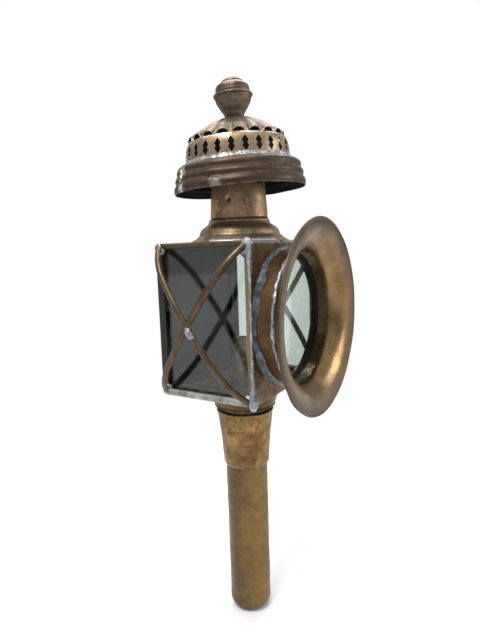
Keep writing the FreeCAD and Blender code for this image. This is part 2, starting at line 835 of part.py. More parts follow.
def make_cap_skirt():
    """Three rolled mouldings that step outwards to the rim."""
    skirt = spun("cap_skirt", [
        ("cap_rim_radius", "0"),
        ("cap_rim_radius - 0.3", "4"),
        ("cap_rim_radius - 0.9", "5.8"),
        ("cap_rim_radius - 1.9", "7"),
        ("cap_rim_radius - 1.1", "8.6"),
        ("cap_rim_radius - 1.5", "10.9"),
        ("cap_rim_radius - 3.2", "12.2"),
        ("cap_rim_radius - 2.7", "13.8"),
        ("cap_rim_radius - 3.4", "16"),
        ("cap_rim_radius - 5.2", "18"),
        ("gallery_radius", "skirt_height"),
    ])
    place_cap(skirt)
    place_cap(turned("gallery_solder", [
        ("gallery_radius", "skirt_height"),
        ("gallery_radius + 2", "skirt_height - 0.1"),
        ("gallery_radius + 0.6", "skirt_height + 0.8"),
        ("gallery_radius", "skirt_height + 1.8"),
    ]))
    place_cap(spun("wind_band", [
        ("gallery_radius - sheet", "skirt_height + 1"),
        ("wind_band_radius", "skirt_height + 1.5"),
        ("wind_band_radius", "skirt_height + wind_band_height"),
    ]))


def make_pierced_band(label, outer, drop):
    """A revolved band whose inner face is its outer one moved in and down."""
    body = new_body(label)
    inner = [(f"{across} - sheet * {drop[0]}", f"{up} - sheet * {drop[1]}")
             for across, up in reversed(outer)]
    sketch = body_sketch(body, "XZ_Plane")
    outline(sketch, outer + inner)
    band = body.newObject("PartDesign::Revolution", f"{label}_turned")
    band.Profile = sketch
    band.ReferenceAxis = (sketch, ["V_Axis"])
    band.Angle = 360
    document.recompute()
    return body


def make_gallery():
    """The pierced wall under the canopy: each hole is two lozenges joined at a waist."""
    body = make_pierced_band("gallery", [
        ("gallery_radius", "skirt_height"),
        ("gallery_radius - 0.4", "skirt_height + gallery_height * 0.3"),
        ("gallery_radius - 1.1", "gallery_top - 3"),
        ("gallery_radius - 1.9", "gallery_top - 0.9"),
        ("gallery_top_radius", "gallery_top"),
    ], drop=(1, 0))
    middle = "skirt_height + gallery_height / 2"
    wide = "gallery_hole_width / 2"
    shoulder = "gallery_hole_height * 0.15"
    tip = "gallery_hole_height / 2"
    sketch = body_sketch(body, "XZ_Plane")
    outline(sketch, [
        ("0", f"{middle} + {tip}"),
        (f"-{wide}", f"{middle} + {shoulder}"),
        ("-gallery_hole_waist / 2", middle),
        (f"-{wide}", f"{middle} - {shoulder}"),
        ("0", f"{middle} - {tip}"),
        (wide, f"{middle} - {shoulder}"),
        ("gallery_hole_waist / 2", middle),
        (wide, f"{middle} + {shoulder}"),
    ])
    hole = pocket_through(body, sketch, length="cap_rim_radius")
    repeat_round(body, hole, "gallery_hole_count")
    place_cap(finish(body, "gallery"))


def make_canopy():
    """The fluted roof of the cap, with a half-moon vent between each pair of ridges."""
    body = make_pierced_band("canopy", [
        ("gallery_top_radius", "gallery_top"),
        ("gallery_top_radius - 1.2", "gallery_top + 3.5"),
        ("gallery_top_radius * 0.58", "gallery_top + canopy_height * 0.63"),
        ("finial_foot_radius", "canopy_top"),
    ], drop=(0.6, 0.8))
    vent = "vent_width ^ 2 / (8 * vent_height) + vent_height / 2"
    sketch = body_sketch(body, "XZ_Plane")
    circle(sketch, vent, up=f"gallery_top + vent_height - ({vent})")
    hole = pocket_through(body, sketch, length="cap_rim_radius")
    repeat_round(body, hole, "flute_count")
    place_cap(finish(body, "canopy"))


def make_finial():
    cup = spun("finial_cup", [
        ("finial_foot_radius", "canopy_top"),
        ("finial_foot_radius + 1.9", "canopy_top + 3.9"),
        ("finial_radius - 2.1", "canopy_top + 8.3"),
        ("finial_radius - 0.4", "canopy_top + 12.3"),
        ("finial_radius", "canopy_top + 14"),
    ])
    dome = spun("finial_dome", [
        ("finial_radius", "canopy_top + 14.9"),
        ("finial_radius - 1", "canopy_top + 16.2"),
        ("finial_radius - 1", "canopy_top + 18.4"),
        ("finial_radius - 2.1", "canopy_top + 21"),
        ("finial_radius - 3.8", "canopy_top + 22.8"),
        ("finial_radius - 5.2", "canopy_top + 23.6"),
        ("finial_radius - 6.2", "canopy_top + 25.4"),
        ("finial_radius - 7.6", "canopy_top + 26.6"),
        ("finial_radius - 9", "finial_top"),
        ("0", "finial_top"),
    ], beads=[("finial_radius", "canopy_top + 14.9", "finial_bead_radius")])
    for piece in (cup, dome):
        place_cap(piece)


def make_legs():
    """Strips from the sleeve out to the crooked skirt, each bent to its own height. The cap
    leans towards a turn of 135 degrees."""
    legs = []
    for step in range(SIZES["leg_count"]):
        turn = 360 * step / SIZES["leg_count"] + SIZES["leg_first_turn"]
        lean = math.cos(math.radians(turn - 135))
        slide_x = math.cos(math.radians(turn))
        slide_y = math.sin(math.radians(turn))
        end_radius = f"leg_end_radius + {slide_x:.4f} * cap_shift_x + {slide_y:.4f} * cap_shift_y"
        end_height = (f"cap_rim_height + skirt_height - sheet - 0.4"
                      f" - leg_end_radius * tan(cap_lean * 1deg) * {lean:.4f}")
        sketch = document.addObject("Sketcher::SketchObject", "leg_line")
        sketch.Placement = Placement(Vector(), Rotation(turn, 0, 90))
        outline(sketch, [
            ("sleeve_top_radius + sheet + 0.4", "sleeve_top - 7"),
            ("sleeve_top_radius + sheet", "sleeve_top - 1"),
            (end_radius, end_height),
        ], closed=False)
        strip = document.addObject("Part::Offset2D", "leg_strip")
        strip.Source = sketch
        strip.Mode = "Skin"
        strip.Join = "Intersection"
        strip.Fill = True
        strip.Value = number("-sheet")
        bind(strip, Value="-sheet")
        leg = document.addObject("Part::Extrusion", "leg")
        leg.Base = strip
        leg.DirMode = "Normal"
        leg.Symmetric = True
        leg.LengthFwd = number("leg_width")
        legs.append(bind(leg, LengthFwd="leg_width"))
    group("cap_legs", legs)


# ---------------------------------------------------------------- build and export

def check_and_export():
    document.recompute()
    failed = [thing.Label for thing in document.Objects if {"Invalid", "Error"} & set(thing.State)]
    if failed:
        raise ValueError(f"these failed: {failed}")
    os.makedirs("parts", exist_ok=True)
    for piece in pieces:
        shape = piece.Shape
        if shape.isNull() or not shape.isValid() or not shape.Solids:
            raise ValueError(f"{piece.Label} has no valid solid")
    for piece in pieces:
        piece.Shape.exportStep(os.path.join("parts", f"{piece.Label}.step"))
        print(f"{piece.Label:22} {len(piece.Shape.Solids)} solid(s) {piece.Shape.Volume:10.1f} mm3")
    print(len(pieces), "nodes")


make_stem()
make_candle_tube()
make_follower()
make_spring()
make_nozzle()
make_base()
make_level_plate("floor_plate", "box_bottom", "socket_radius")
make_level_plate("top_plate", "box_top - plate", "neck_radius + 4")
make_upright_plate("front_panel", round_hole=True)
make_upright_plate("back_frame", round_hole=False)
for side_name, side_sign in SIDES:
    make_side(side_name, side_sign)
    make_guards(side_name, side_sign)
make_shoulder()
make_bell()
make_door()
make_hinge()
make_sleeve()
make_cap_skirt()
make_gallery()
make_canopy()
make_finial()
make_legs()
check_and_export()
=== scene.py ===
import json
import math

import bmesh
import bpy
from mathutils import Matrix, Vector, noise


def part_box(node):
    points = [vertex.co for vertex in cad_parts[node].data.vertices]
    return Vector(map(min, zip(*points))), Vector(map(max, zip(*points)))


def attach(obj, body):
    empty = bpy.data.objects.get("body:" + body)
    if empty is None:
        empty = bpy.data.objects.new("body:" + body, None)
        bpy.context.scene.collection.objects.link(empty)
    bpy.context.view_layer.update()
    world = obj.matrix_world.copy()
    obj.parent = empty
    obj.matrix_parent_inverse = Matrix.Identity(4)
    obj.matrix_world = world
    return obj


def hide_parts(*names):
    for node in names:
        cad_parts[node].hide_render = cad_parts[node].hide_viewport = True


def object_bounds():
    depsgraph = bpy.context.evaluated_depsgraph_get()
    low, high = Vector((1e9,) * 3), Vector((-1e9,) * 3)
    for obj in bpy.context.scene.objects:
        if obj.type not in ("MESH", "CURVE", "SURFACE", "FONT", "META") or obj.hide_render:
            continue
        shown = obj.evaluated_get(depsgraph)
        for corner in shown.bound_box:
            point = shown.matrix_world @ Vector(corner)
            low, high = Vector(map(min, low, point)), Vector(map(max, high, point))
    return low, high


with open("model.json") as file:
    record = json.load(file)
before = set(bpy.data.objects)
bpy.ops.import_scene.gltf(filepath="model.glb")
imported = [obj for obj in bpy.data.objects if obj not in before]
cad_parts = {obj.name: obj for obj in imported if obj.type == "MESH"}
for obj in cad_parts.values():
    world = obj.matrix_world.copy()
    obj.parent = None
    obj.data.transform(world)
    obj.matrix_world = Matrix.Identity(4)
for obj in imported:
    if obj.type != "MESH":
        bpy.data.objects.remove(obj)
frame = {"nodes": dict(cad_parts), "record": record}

cad_low, cad_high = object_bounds()

# A brass candle carriage lamp, in metres. The bell faces -Y and the origin is on the
# lamp's axis, where the stem enters the cone. Outlines are written in millimetres.
MM = 0.001
TURN_STEPS = 128

# Without a seed, noise_vector takes its offsets from the clock and every run differs.
WANDER_SEED = 1
noise.seed_set(WANDER_SEED)

home = {node: body for body, nodes in frame["record"]["behaviour"]["bodies"].items() for node in nodes}

panel_low, panel_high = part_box("front_panel")
window_height = (panel_low.z + panel_high.z) / 2
floor_height = cad_low.z
cap_foot = Vector((0.8, -1.3, 206.7)) * MM
cap_lean = math.radians(2.9)
cap_lean_axis = Vector((-1, -1, 0))

LAMP_AXIS = Matrix.Identity(4)
BELL_AXIS = Matrix.Translation((0, panel_low.y, window_height)) @ Matrix.Rotation(math.pi / 2, 4, "X")
CAP_AXIS = Matrix.Translation(cap_foot) @ Matrix.Rotation(cap_lean, 4, cap_lean_axis)


# ---------------------------------------------------------------- shader node helpers

def feed(tree, socket, value):
    """Gives a socket its value, or links another node's output to it."""
    if isinstance(value, bpy.types.NodeSocket):
        tree.links.new(value, socket)
    else:
        socket.default_value = value


def add(tree, kind, inputs=None, **settings):
    """Adds a node, with its settings and its inputs, which are values or sockets."""
    made = tree.nodes.new(kind)
    for name, value in settings.items():
        setattr(made, name, value)
    for key, value in (inputs or {}).items():
        feed(tree, made.inputs[key], value)
    return made


def calc(tree, operation, first, second=0.0, clamp=False):
    """One sum on two numbers."""
    return add(tree, "ShaderNodeMath", {0: first, 1: second}, operation=operation, use_clamp=clamp).outputs[0]


def ramp(tree, value, low, high, to_low=0.0, to_high=1.0):
    """A number eased from one range to another."""
    eased = add(tree, "ShaderNodeMapRange",
                {"Value": value, "From Min": low, "From Max": high, "To Min": to_low, "To Max": to_high},
                interpolation_type="SMOOTHSTEP")
    return eased.outputs["Result"]


def blend(tree, factor, first, second):
    """One colour laid over another by a mask."""
    return add(tree, "ShaderNodeMix", {0: factor, 6: first, 7: second}, data_type="RGBA").outputs[2]


def between(tree, mask, first, second):
    """A number mixed towards another by a mask."""
    return add(tree, "ShaderNodeMix", {0: mask, 2: first, 3: second}, data_type="FLOAT").outputs[0]


def rgb(red, green, blue):
    return (red, green, blue, 1.0)


def new_group(name, inputs, outputs):
    """Starts a node group: inputs are (name, kind, default), outputs are (name, kind)."""
    tree = bpy.data.node_groups.new(name, "ShaderNodeTree")
    for label, kind, default in inputs:
        socket = tree.interface.new_socket(label, in_out="INPUT", socket_type=kind)
        if default is not None:
            socket.default_value = default
    for label, kind in outputs:
        tree.interface.new_socket(label, in_out="OUTPUT", socket_type=kind)
    return tree, tree.nodes.new("NodeGroupInput"), tree.nodes.new("NodeGroupOutput")


FLOAT = "NodeSocketFloat"
VECTOR = "NodeSocketVector"


def make_tarnish_group():
    """Old metal's surface: wide clouds, ragged stains, small pits and fine grain."""
    tree, given, result = new_group("tarnish", [
        ("Vector", VECTOR, None),
        ("Cloud Scale", FLOAT, 30.0),
        ("Stain Scale", FLOAT, 110.0),
        ("Stain Level", FLOAT, 0.5),
        ("Pit Scale", FLOAT, 420.0),
        ("Pit Level", FLOAT, 0.12),
    ], [("Cloud", FLOAT), ("Stain", FLOAT), ("Pits", FLOAT), ("Grain", FLOAT)])
    here = given.outputs["Vector"]
    cloud = add(tree, "ShaderNodeTexNoise", {"Vector": here, "Scale": given.outputs["Cloud Scale"],
                                             "Detail": 5.0, "Roughness": 0.6, "Distortion": 0.4})
    stain = add(tree, "ShaderNodeTexNoise", {"Vector": here, "Scale": given.outputs["Stain Scale"],
                                             "Detail": 9.0, "Roughness": 0.72, "Distortion": 0.2})
    pits = add(tree, "ShaderNodeTexVoronoi", {"Vector": here, "Scale": given.outputs["Pit Scale"]})
    pit_patches = add(tree, "ShaderNodeTexNoise", {"Vector": here, "Scale": 160.0, "Detail": 3.0})
    grain = add(tree, "ShaderNodeTexNoise", {"Vector": here, "Scale": 900.0, "Detail": 4.0, "Roughness": 0.7})
    level = given.outputs["Stain Level"]
    stained = add(tree, "ShaderNodeMapRange",
                  {"Value": stain.outputs["Fac"], "From Min": calc(tree, "SUBTRACT", level, 0.17),
                   "From Max": calc(tree, "ADD", level, 0.17)}, interpolation_type="SMOOTHSTEP")
    patchy = ramp(tree, pit_patches.outputs["Fac"], 0.4, 0.68)
    reach = calc(tree, "MULTIPLY", patchy, given.outputs["Pit Level"])
    pitted = add(tree, "ShaderNodeMapRange",
                 {"Value": pits.outputs["Distance"], "From Min": reach,
                  "From Max": calc(tree, "MULTIPLY", reach, 2.2), "To Min": 1.0, "To Max": 0.0},
                 interpolation_type="SMOOTHSTEP")
    for name, value in (("Cloud", ramp(tree, cloud.outputs["Fac"], 0.34, 0.66)),
                        ("Stain", stained.outputs["Result"]),
                        ("Pits", pitted.outputs["Result"]),
                        ("Grain", grain.outputs["Fac"])):
        tree.links.new(value, result.inputs[name])
    return tree


def make_edge_wear_and_highlight_group():
    """Edges made bright, broken up by noise: partly wear where hands and cloths have rubbed them, partly
    painted highlight along the edges.
    """
    tree, given, result = new_group("edge_wear_and_highlight", [
        ("Vector", VECTOR, None),
        ("Radius", FLOAT, 0.0008),
    ], [("Edge", FLOAT)])
    rounded = add(tree, "ShaderNodeBevel", {"Radius": given.outputs["Radius"]}, samples=4)
    flat = add(tree, "ShaderNodeNewGeometry")
    same = add(tree, "ShaderNodeVectorMath",
               {0: rounded.outputs["Normal"], 1: flat.outputs["Normal"]}, operation="DOT_PRODUCT")
    broken = add(tree, "ShaderNodeTexNoise",
                 {"Vector": given.outputs["Vector"], "Scale": 260.0, "Detail": 4.0})
    edge = ramp(tree, same.outputs["Value"], 0.985, 0.86)
    worn_and_lit = calc(tree, "MULTIPLY", edge, ramp(tree, broken.outputs["Fac"], 0.3, 0.6))
    tree.links.new(worn_and_lit, result.inputs["Edge"])
    return tree


def make_streak_group():
    """Runs and rubbing along an upright tube, from noise drawn out along Z."""
    tree, given, result = new_group("streaks", [
        ("Vector", VECTOR, None),
        ("Scale", FLOAT, 60.0),
        ("Stretch", FLOAT, 0.12),
    ], [("Streak", FLOAT)])
    squeeze = add(tree, "ShaderNodeCombineXYZ", {"X": 1.0, "Y": 1.0, "Z": given.outputs["Stretch"]})
    drawn = add(tree, "ShaderNodeVectorMath",
                {0: given.outputs["Vector"], 1: squeeze.outputs["Vector"]}, operation="MULTIPLY")
    lines = add(tree, "ShaderNodeTexNoise",
                {"Vector": drawn.outputs["Vector"], "Scale": given.outputs["Scale"],
                 "Detail": 6.0, "Roughness": 0.6})
    tree.links.new(ramp(tree, lines.outputs["Fac"], 0.36, 0.64), result.inputs["Streak"])
    return tree


def make_patch_group():
    """A ragged patch round one place on a piece."""
    tree, given, result = new_group("patch", [
        ("Vector", VECTOR, None),
        ("Centre", VECTOR, None),
        ("Radius", FLOAT, 0.005),
        ("Ragged", FLOAT, 0.5),
        ("Scale", FLOAT, 220.0),
    ], [("Patch", FLOAT)])
    away = add(tree, "ShaderNodeVectorMath",
               {0: given.outputs["Vector"], 1: given.outputs["Centre"]}, operation="DISTANCE")
    torn = add(tree, "ShaderNodeTexNoise",
               {"Vector": given.outputs["Vector"], "Scale": given.outputs["Scale"],
                "Detail": 5.0, "Roughness": 0.65})
    share = calc(tree, "DIVIDE", away.outputs["Value"], given.outputs["Radius"])
    shift = calc(tree, "MULTIPLY", calc(tree, "SUBTRACT", torn.outputs["Fac"], 0.5),
                 calc(tree, "MULTIPLY", given.outputs["Ragged"], 4.0))
    tree.links.new(ramp(tree, calc(tree, "ADD", share, shift), 1.1, 0.8), result.inputs["Patch"])
    return tree


def make_band_group():
    """A ragged band between two heights, such as a solder smear along a seam."""
    tree, given, result = new_group("band", [
        ("Vector", VECTOR, None),
        ("Height", FLOAT, 0.0),
        ("Low", FLOAT, 0.0),
        ("High", FLOAT, 0.001),
        ("Feather", FLOAT, 0.0005),
        ("Coverage", FLOAT, 0.5),
    ], [("Band", FLOAT)])
    torn = add(tree, "ShaderNodeTexNoise", {"Vector": given.outputs["Vector"],
                                            "Scale": 170.0, "Detail": 6.0, "Roughness": 0.7})
    wander = calc(tree, "MULTIPLY", calc(tree, "SUBTRACT", torn.outputs["Fac"], 0.5), 0.004)
    height = calc(tree, "ADD", given.outputs["Height"], wander)
    feather = given.outputs["Feather"]
    over = calc(tree, "DIVIDE", calc(tree, "SUBTRACT", height, given.outputs["Low"]), feather, clamp=True)
    under = calc(tree, "DIVIDE", calc(tree, "SUBTRACT", given.outputs["High"], height), feather, clamp=True)
    gaps = add(tree, "ShaderNodeTexNoise", {"Vector": given.outputs["Vector"], "Scale": 75.0, "Detail": 4.0})
    missing = calc(tree, "SUBTRACT", 1.0, given.outputs["Coverage"])
    kept = calc(tree, "GREATER_THAN", ramp(tree, gaps.outputs["Fac"], 0.3, 0.7), missing)
    band = calc(tree, "MULTIPLY", calc(tree, "MULTIPLY", over, under), kept)
    tree.links.new(band, result.inputs["Band"])
    return tree


def make_inside_group():
    """Faces that look towards a place inside the piece: the sooty side of a shell."""
    tree, given, result = new_group("inside", [
        ("Vector", VECTOR, None),
        ("Normal", VECTOR, None),
        ("Centre", VECTOR, None),
    ], [("Inside", FLOAT)])
    outward = add(tree, "ShaderNodeVectorMath",
                  {0: given.outputs["Vector"], 1: given.outputs["Centre"]}, operation="SUBTRACT")
    outward = add(tree, "ShaderNodeVectorMath", {0: outward.outputs["Vector"]}, operation="NORMALIZE")
    facing = add(tree, "ShaderNodeVectorMath",
                 {0: outward.outputs["Vector"], 1: given.outputs["Normal"]}, operation="DOT_PRODUCT")
    tree.links.new(ramp(tree, facing.outputs["Value"], -0.02, -0.12), result.inputs["Inside"])
    return tree


GROUPS = {
    "tarnish": make_tarnish_group(),
    "edge_wear_and_highlight": make_edge_wear_and_highlight_group(),
    "streaks": make_streak_group(),
    "patch": make_patch_group(),
    "band": make_band_group(),
    "inside": make_inside_group(),
}


def fill(tree, name, given):
    """Places a shared group in a material, with that material's own values."""
    return add(tree, "ShaderNodeGroup", given, node_tree=GROUPS[name])


# ---------------------------------------------------------------- metals

class Finish:
    """A material being painted: its colour, roughness, metal and height so far."""

    def __init__(self, name):
        self.material = bpy.data.materials.new(name)
        self.material.use_nodes = True
        self.tree = self.material.node_tree
        self.shader = self.tree.nodes["Principled BSDF"]
        place = add(self.tree, "ShaderNodeTexCoord")
        self.here = place.outputs["Object"]
        self.normal = place.outputs["Normal"]
        self.height = None

    def lay(self, mask, colour, rough=None, metal=None):
        """Lays a colour over what is there, and its roughness and metal with it."""
        self.colour = blend(self.tree, mask, self.colour, colour)
        if rough is not None:
            self.rough = between(self.tree, mask, self.rough, rough)
        if metal is not None:
            self.metal = between(self.tree, mask, self.metal, metal)

    def done(self, bump, distance=0.0004):
        tree = self.tree
        for name, value in (("Base Color", self.colour), ("Roughness", self.rough), ("Metallic", self.metal)):
            feed(tree, self.shader.inputs[name], value)
        if self.height is not None:
            raised = add(tree, "ShaderNodeBump",
                         {"Height": self.height, "Strength": bump, "Distance": distance})
            tree.links.new(raised.outputs["Normal"], self.shader.inputs["Normal"])
        return self.material


def aged_metal(name, light, dark, stain, pit=(0.02, 0.012, 0.006), rub_and_highlight=None, cloud_scale=30.0,
               stain_scale=110.0, stain_level=0.5, pit_scale=420.0, pit_level=0.12, rough=(0.34, 0.55),
               metal=0.9, streak=0.25, rub_and_highlight_radius=0.0008):
    """Starts a finish of old sheet metal that has darkened in patches."""
    finish = Finish(name)
    tree = finish.tree
    old = fill(tree, "tarnish", {
        "Vector": finish.here, "Cloud Scale": cloud_scale, "Stain Scale": stain_scale,
        "Stain Level": stain_level, "Pit Scale": pit_scale, "Pit Level": pit_level})
    runs = fill(tree, "streaks", {"Vector": finish.here})
    cloud = calc(tree, "ADD", calc(tree, "MULTIPLY", old.outputs["Cloud"], 1 - streak),
                 calc(tree, "MULTIPLY", runs.outputs["Streak"], streak))
    finish.colour = blend(tree, cloud, rgb(*dark), rgb(*light))
    finish.rough = between(tree, old.outputs["Stain"], rough[0], rough[1])
    finish.metal = metal
    finish.lay(calc(tree, "MULTIPLY", old.outputs["Stain"], 0.75), rgb(*stain), metal=metal * 0.75)
    finish.lay(old.outputs["Pits"], rgb(*pit), rough=0.75, metal=0.2)
    # Edges laid lighter: partly rubbed wear, partly painted highlight along the edges.
    if rub_and_highlight:
        worn_and_lit = fill(tree, "edge_wear_and_highlight", {"Vector": finish.here, "Radius": rub_and_highlight_radius})
        finish.lay(worn_and_lit.outputs["Edge"], rgb(*rub_and_highlight), rough=rough[0] * 0.9, metal=metal)
    finish.height = calc(tree, "SUBTRACT", calc(tree, "MULTIPLY", old.outputs["Grain"], 0.35),
                         calc(tree, "ADD", old.outputs["Pits"],
                              calc(tree, "MULTIPLY", old.outputs["Stain"], 0.25)))
    return finish


def soot_inside(finish, centre):
    """Blackens the side of a shell that looks at its inside."""
    hidden = fill(finish.tree, "inside", {"Vector": finish.here, "Normal": finish.normal, "Centre": centre})
    finish.lay(hidden.outputs["Inside"], rgb(0.012, 0.011, 0.010), rough=0.9, metal=0.0)


def ragged_patch(finish, centre, radius, colour, ragged=0.5, scale=220.0, rough=None, metal=None,
                 strength=1.0):
    """Lays a ragged patch of another colour at one place, given in millimetres."""
    spot = fill(finish.tree, "patch", {"Vector": finish.here, "Centre": Vector(centre) * MM,
                                       "Radius": radius * MM, "Ragged": ragged, "Scale": scale})
    finish.lay(calc(finish.tree, "MULTIPLY", spot.outputs["Patch"], strength), rgb(*colour),
               rough=rough, metal=metal)


def height_of(finish, axis=None):
    """Height along the lamp's axis, or along the cap's own leaning one."""
    tree = finish.tree
    vector = finish.here
    if axis is not None:
        turn = axis.to_euler()
        vector = add(tree, "ShaderNodeMapping",
                     {"Vector": vector, "Location": axis.to_translation(), "Rotation": turn},
                     vector_type="TEXTURE").outputs["Vector"]
    return add(tree, "ShaderNodeSeparateXYZ", {0: vector}).outputs["Z"]


def smear_band(finish, height, low, high, colour, coverage, metal):
    """Lays a ragged band between two heights, given in millimetres."""
    band = fill(finish.tree, "band", {"Vector": finish.here, "Height": height, "Low": low * MM,
                                      "High": high * MM, "Feather": 0.6 * MM, "Coverage": coverage})
    finish.lay(band.outputs["Band"], rgb(*colour), rough=0.4, metal=metal)


SOLDER_BRIGHT = (0.62, 0.62, 0.63)


def stem_brass():
    """Dull brown brass, with a painted golden highlight down one side."""
    finish = aged_metal("stem_brass", light=(0.14, 0.089, 0.036), dark=(0.08, 0.05, 0.022),
                        stain=(0.085, 0.052, 0.025), cloud_scale=30.0, stain_scale=120.0,
                        stain_level=0.53, pit_level=0.16, rough=(0.36, 0.52), streak=0.35)
    tree = finish.tree
    # Painted highlight: gold laid down the side of the tube that faces (-0.57, -0.82), broken up by noise.
    towards = add(tree, "ShaderNodeVectorMath", {0: finish.normal, 1: (-0.57, -0.82, 0.0)},
                  operation="DOT_PRODUCT").outputs["Value"]
    torn = add(tree, "ShaderNodeTexNoise", {"Vector": finish.here, "Scale": 90.0, "Detail": 7.0,
                                            "Roughness": 0.7}).outputs["Fac"]
    painted_highlight_side = calc(tree, "ADD", towards, calc(tree, "MULTIPLY", calc(tree, "SUBTRACT", torn, 0.5), 1.1))
    finish.lay(ramp(tree, painted_highlight_side, 0.45, 1.25, 0.0, 0.5), rgb(0.34, 0.21, 0.065))
    return finish.done(0.35)


def cone_brass():
    """Golden brass with red-brown patches and dark specks."""
    return aged_metal("cone_brass", light=(0.40, 0.25, 0.08), dark=(0.18, 0.11, 0.038),
                      stain=(0.10, 0.042, 0.016), rub_and_highlight=(0.55, 0.42, 0.22), cloud_scale=60.0,
                      stain_scale=130.0, stain_level=0.5, pit_level=0.2, rough=(0.33, 0.5),
                      streak=0.1).done(0.4)


def dish_brass():
    """Olive brass under the box."""
    finish = aged_metal("dish_brass", light=(0.15, 0.08, 0.024), dark=(0.075, 0.04, 0.012),
                        stain=(0.05, 0.03, 0.011), rub_and_highlight=(0.2, 0.12, 0.05), rough=(0.36, 0.5))
    return finish.done(0.3)


def panel_bronze():
    """The red-brown front: golden where it folds round the corners, solder at its top."""
    finish = aged_metal("panel_bronze", light=(0.50, 0.33, 0.17), dark=(0.30, 0.19, 0.10),
                        stain=(0.06, 0.03, 0.016), rub_and_highlight=(0.42, 0.29, 0.14), cloud_scale=34.0,
                        rough=(0.36, 0.5), streak=0.6)
    sideways = add(finish.tree, "ShaderNodeSeparateXYZ", {0: finish.normal}).outputs["X"]
    folded = ramp(finish.tree, calc(finish.tree, "ABSOLUTE", sideways), 0.5, 0.9)
    finish.lay(calc(finish.tree, "MULTIPLY", folded, 0.8), rgb(0.25, 0.18, 0.088))
    top = panel_high.z / MM
    smear_band(finish, height_of(finish), top - 2.4, top + 2, SOLDER_BRIGHT, coverage=0.75, metal=0.7)
    return finish.done(0.3)


def collar_brass():
    """Golden-brown brass between the two solder seams of the bell."""
    return aged_metal("collar_brass", light=(0.16, 0.098, 0.036), dark=(0.08, 0.045, 0.018),
                      stain=(0.055, 0.027, 0.011), rub_and_highlight=(0.4, 0.28, 0.13), rough=(0.3, 0.45)).done(0.3)


def bell_bronze():
    """Brown bronze, its inner faces in the mouth painted lighter gold as painted light, and dull again
    towards its rim.
    """
    finish = aged_metal("bell_bronze", light=(0.125, 0.086, 0.045), dark=(0.07, 0.048, 0.026),
                        stain=(0.05, 0.033, 0.018), rub_and_highlight=(0.11, 0.08, 0.048), cloud_scale=22.0,
                        stain_scale=60.0, stain_level=0.5, rough=(0.22, 0.34), streak=0.1)
    tree = finish.tree
    # Painted light: faces that look out of the mouth are laid lighter gold, standing in for the lit inside of
    # the bell.
    facing = add(tree, "ShaderNodeSeparateXYZ", {0: finish.normal}).outputs["Y"]
    mouth = ramp(tree, facing, 0.15, -0.25)
    torn = add(tree, "ShaderNodeTexNoise", {"Vector": finish.here, "Scale": 34.0, "Detail": 6.0,
                                            "Roughness": 0.6}).outputs["Fac"]
    painted_light_gold = blend(tree, ramp(tree, torn, 0.35, 0.65), rgb(0.185, 0.115, 0.045), rgb(0.31, 0.20, 0.085))
    finish.lay(calc(tree, "MULTIPLY", mouth, 0.85), painted_light_gold)
    flat = add(tree, "ShaderNodeVectorMath", {0: finish.here, 1: (1.0, 0.0, 1.0)}, operation="MULTIPLY")
    from_axis = add(tree, "ShaderNodeVectorMath", {0: flat.outputs["Vector"], 1: (0.0, 0.0, window_height)},
                    operation="DISTANCE").outputs["Value"]
    finish.lay(calc(tree, "MULTIPLY", mouth, ramp(tree, from_axis, 0.054, 0.066, 0.0, 0.8)),
               rgb(0.05, 0.034, 0.019), rough=0.4)
    return finish.done(0.2)


def bar_brass():
    """Guard bars: brown, with painted highlights of pale gold along the edges."""
    return aged_metal("bar_brass", light=(0.17, 0.125, 0.072), dark=(0.085, 0.058, 0.034),
                      stain=(0.06, 0.034, 0.018), rub_and_highlight=(0.36, 0.28, 0.18), cloud_scale=60.0,
                      stain_scale=140.0, rough=(0.34, 0.5), rub_and_highlight_radius=0.0007).done(0.3)


def rail_brass():
    """The rod along the top of each window."""
    return aged_metal("rail_brass", light=(0.125, 0.09, 0.057), dark=(0.066, 0.047, 0.029),
                      stain=(0.075, 0.045, 0.025), rub_and_highlight=(0.24, 0.19, 0.13), cloud_scale=50.0,
                      rough=(0.34, 0.5)).done(0.3)


def sill_brass():
    """The lower rail, crusted pale green and grey."""
    finish = aged_metal("sill_brass", light=(0.50, 0.55, 0.48), dark=(0.24, 0.27, 0.235),
                        stain=(0.10, 0.085, 0.06), rub_and_highlight=(0.42, 0.45, 0.40), cloud_scale=60.0,
                        stain_scale=160.0, rough=(0.42, 0.6), metal=0.45)
    return finish.done(0.5)


def shoulder_brass():
    """Olive-brown brass, with silvery solder wiped along its flange."""
    finish = aged_metal("shoulder_brass", light=(0.47, 0.345, 0.20), dark=(0.30, 0.215, 0.125),
                        stain=(0.075, 0.05, 0.027), rub_and_highlight=(0.32, 0.25, 0.15), cloud_scale=36.0,
                        rough=(0.38, 0.52))
    top = panel_high.z / MM
    smear_band(finish, height_of(finish), top - 1, top + 2.0, SOLDER_BRIGHT, coverage=0.62, metal=0.7)
    return finish.done(0.3)


def sleeve_brass():
    """The chimney sleeve: a painted highlight of gold on one side, a copper patch, and a dent in the middle
    with painted shade in it.
    """
    finish = aged_metal("sleeve_brass", light=(0.42, 0.29, 0.155), dark=(0.27, 0.178, 0.098),
                        stain=(0.19, 0.12, 0.068), rub_and_highlight=(0.4, 0.3, 0.18), cloud_scale=45.0,
                        rough=(0.42, 0.56))
    ragged_patch(finish, (-19, -9, 196), 8, (0.62, 0.36, 0.24), ragged=1.2, scale=420.0, rough=0.45,
                 strength=0.5)
    # Painted highlight: a gold patch on the lit side of the sleeve.
    ragged_patch(finish, (-15.5, 11, 194), 8, (0.62, 0.42, 0.2), ragged=0.7, strength=0.6)
    # Painted shade: a dark spot inside the dent.
    ragged_patch(finish, (-19.5, -4, 199), 1.6, (0.045, 0.036, 0.03), ragged=0.4, rough=0.6, metal=0.4)
    soot_inside(finish, (0, 0, 0.2))
    return finish.done(0.35)


CAP_CENTRE = (0.0, 0.0, 0.212)


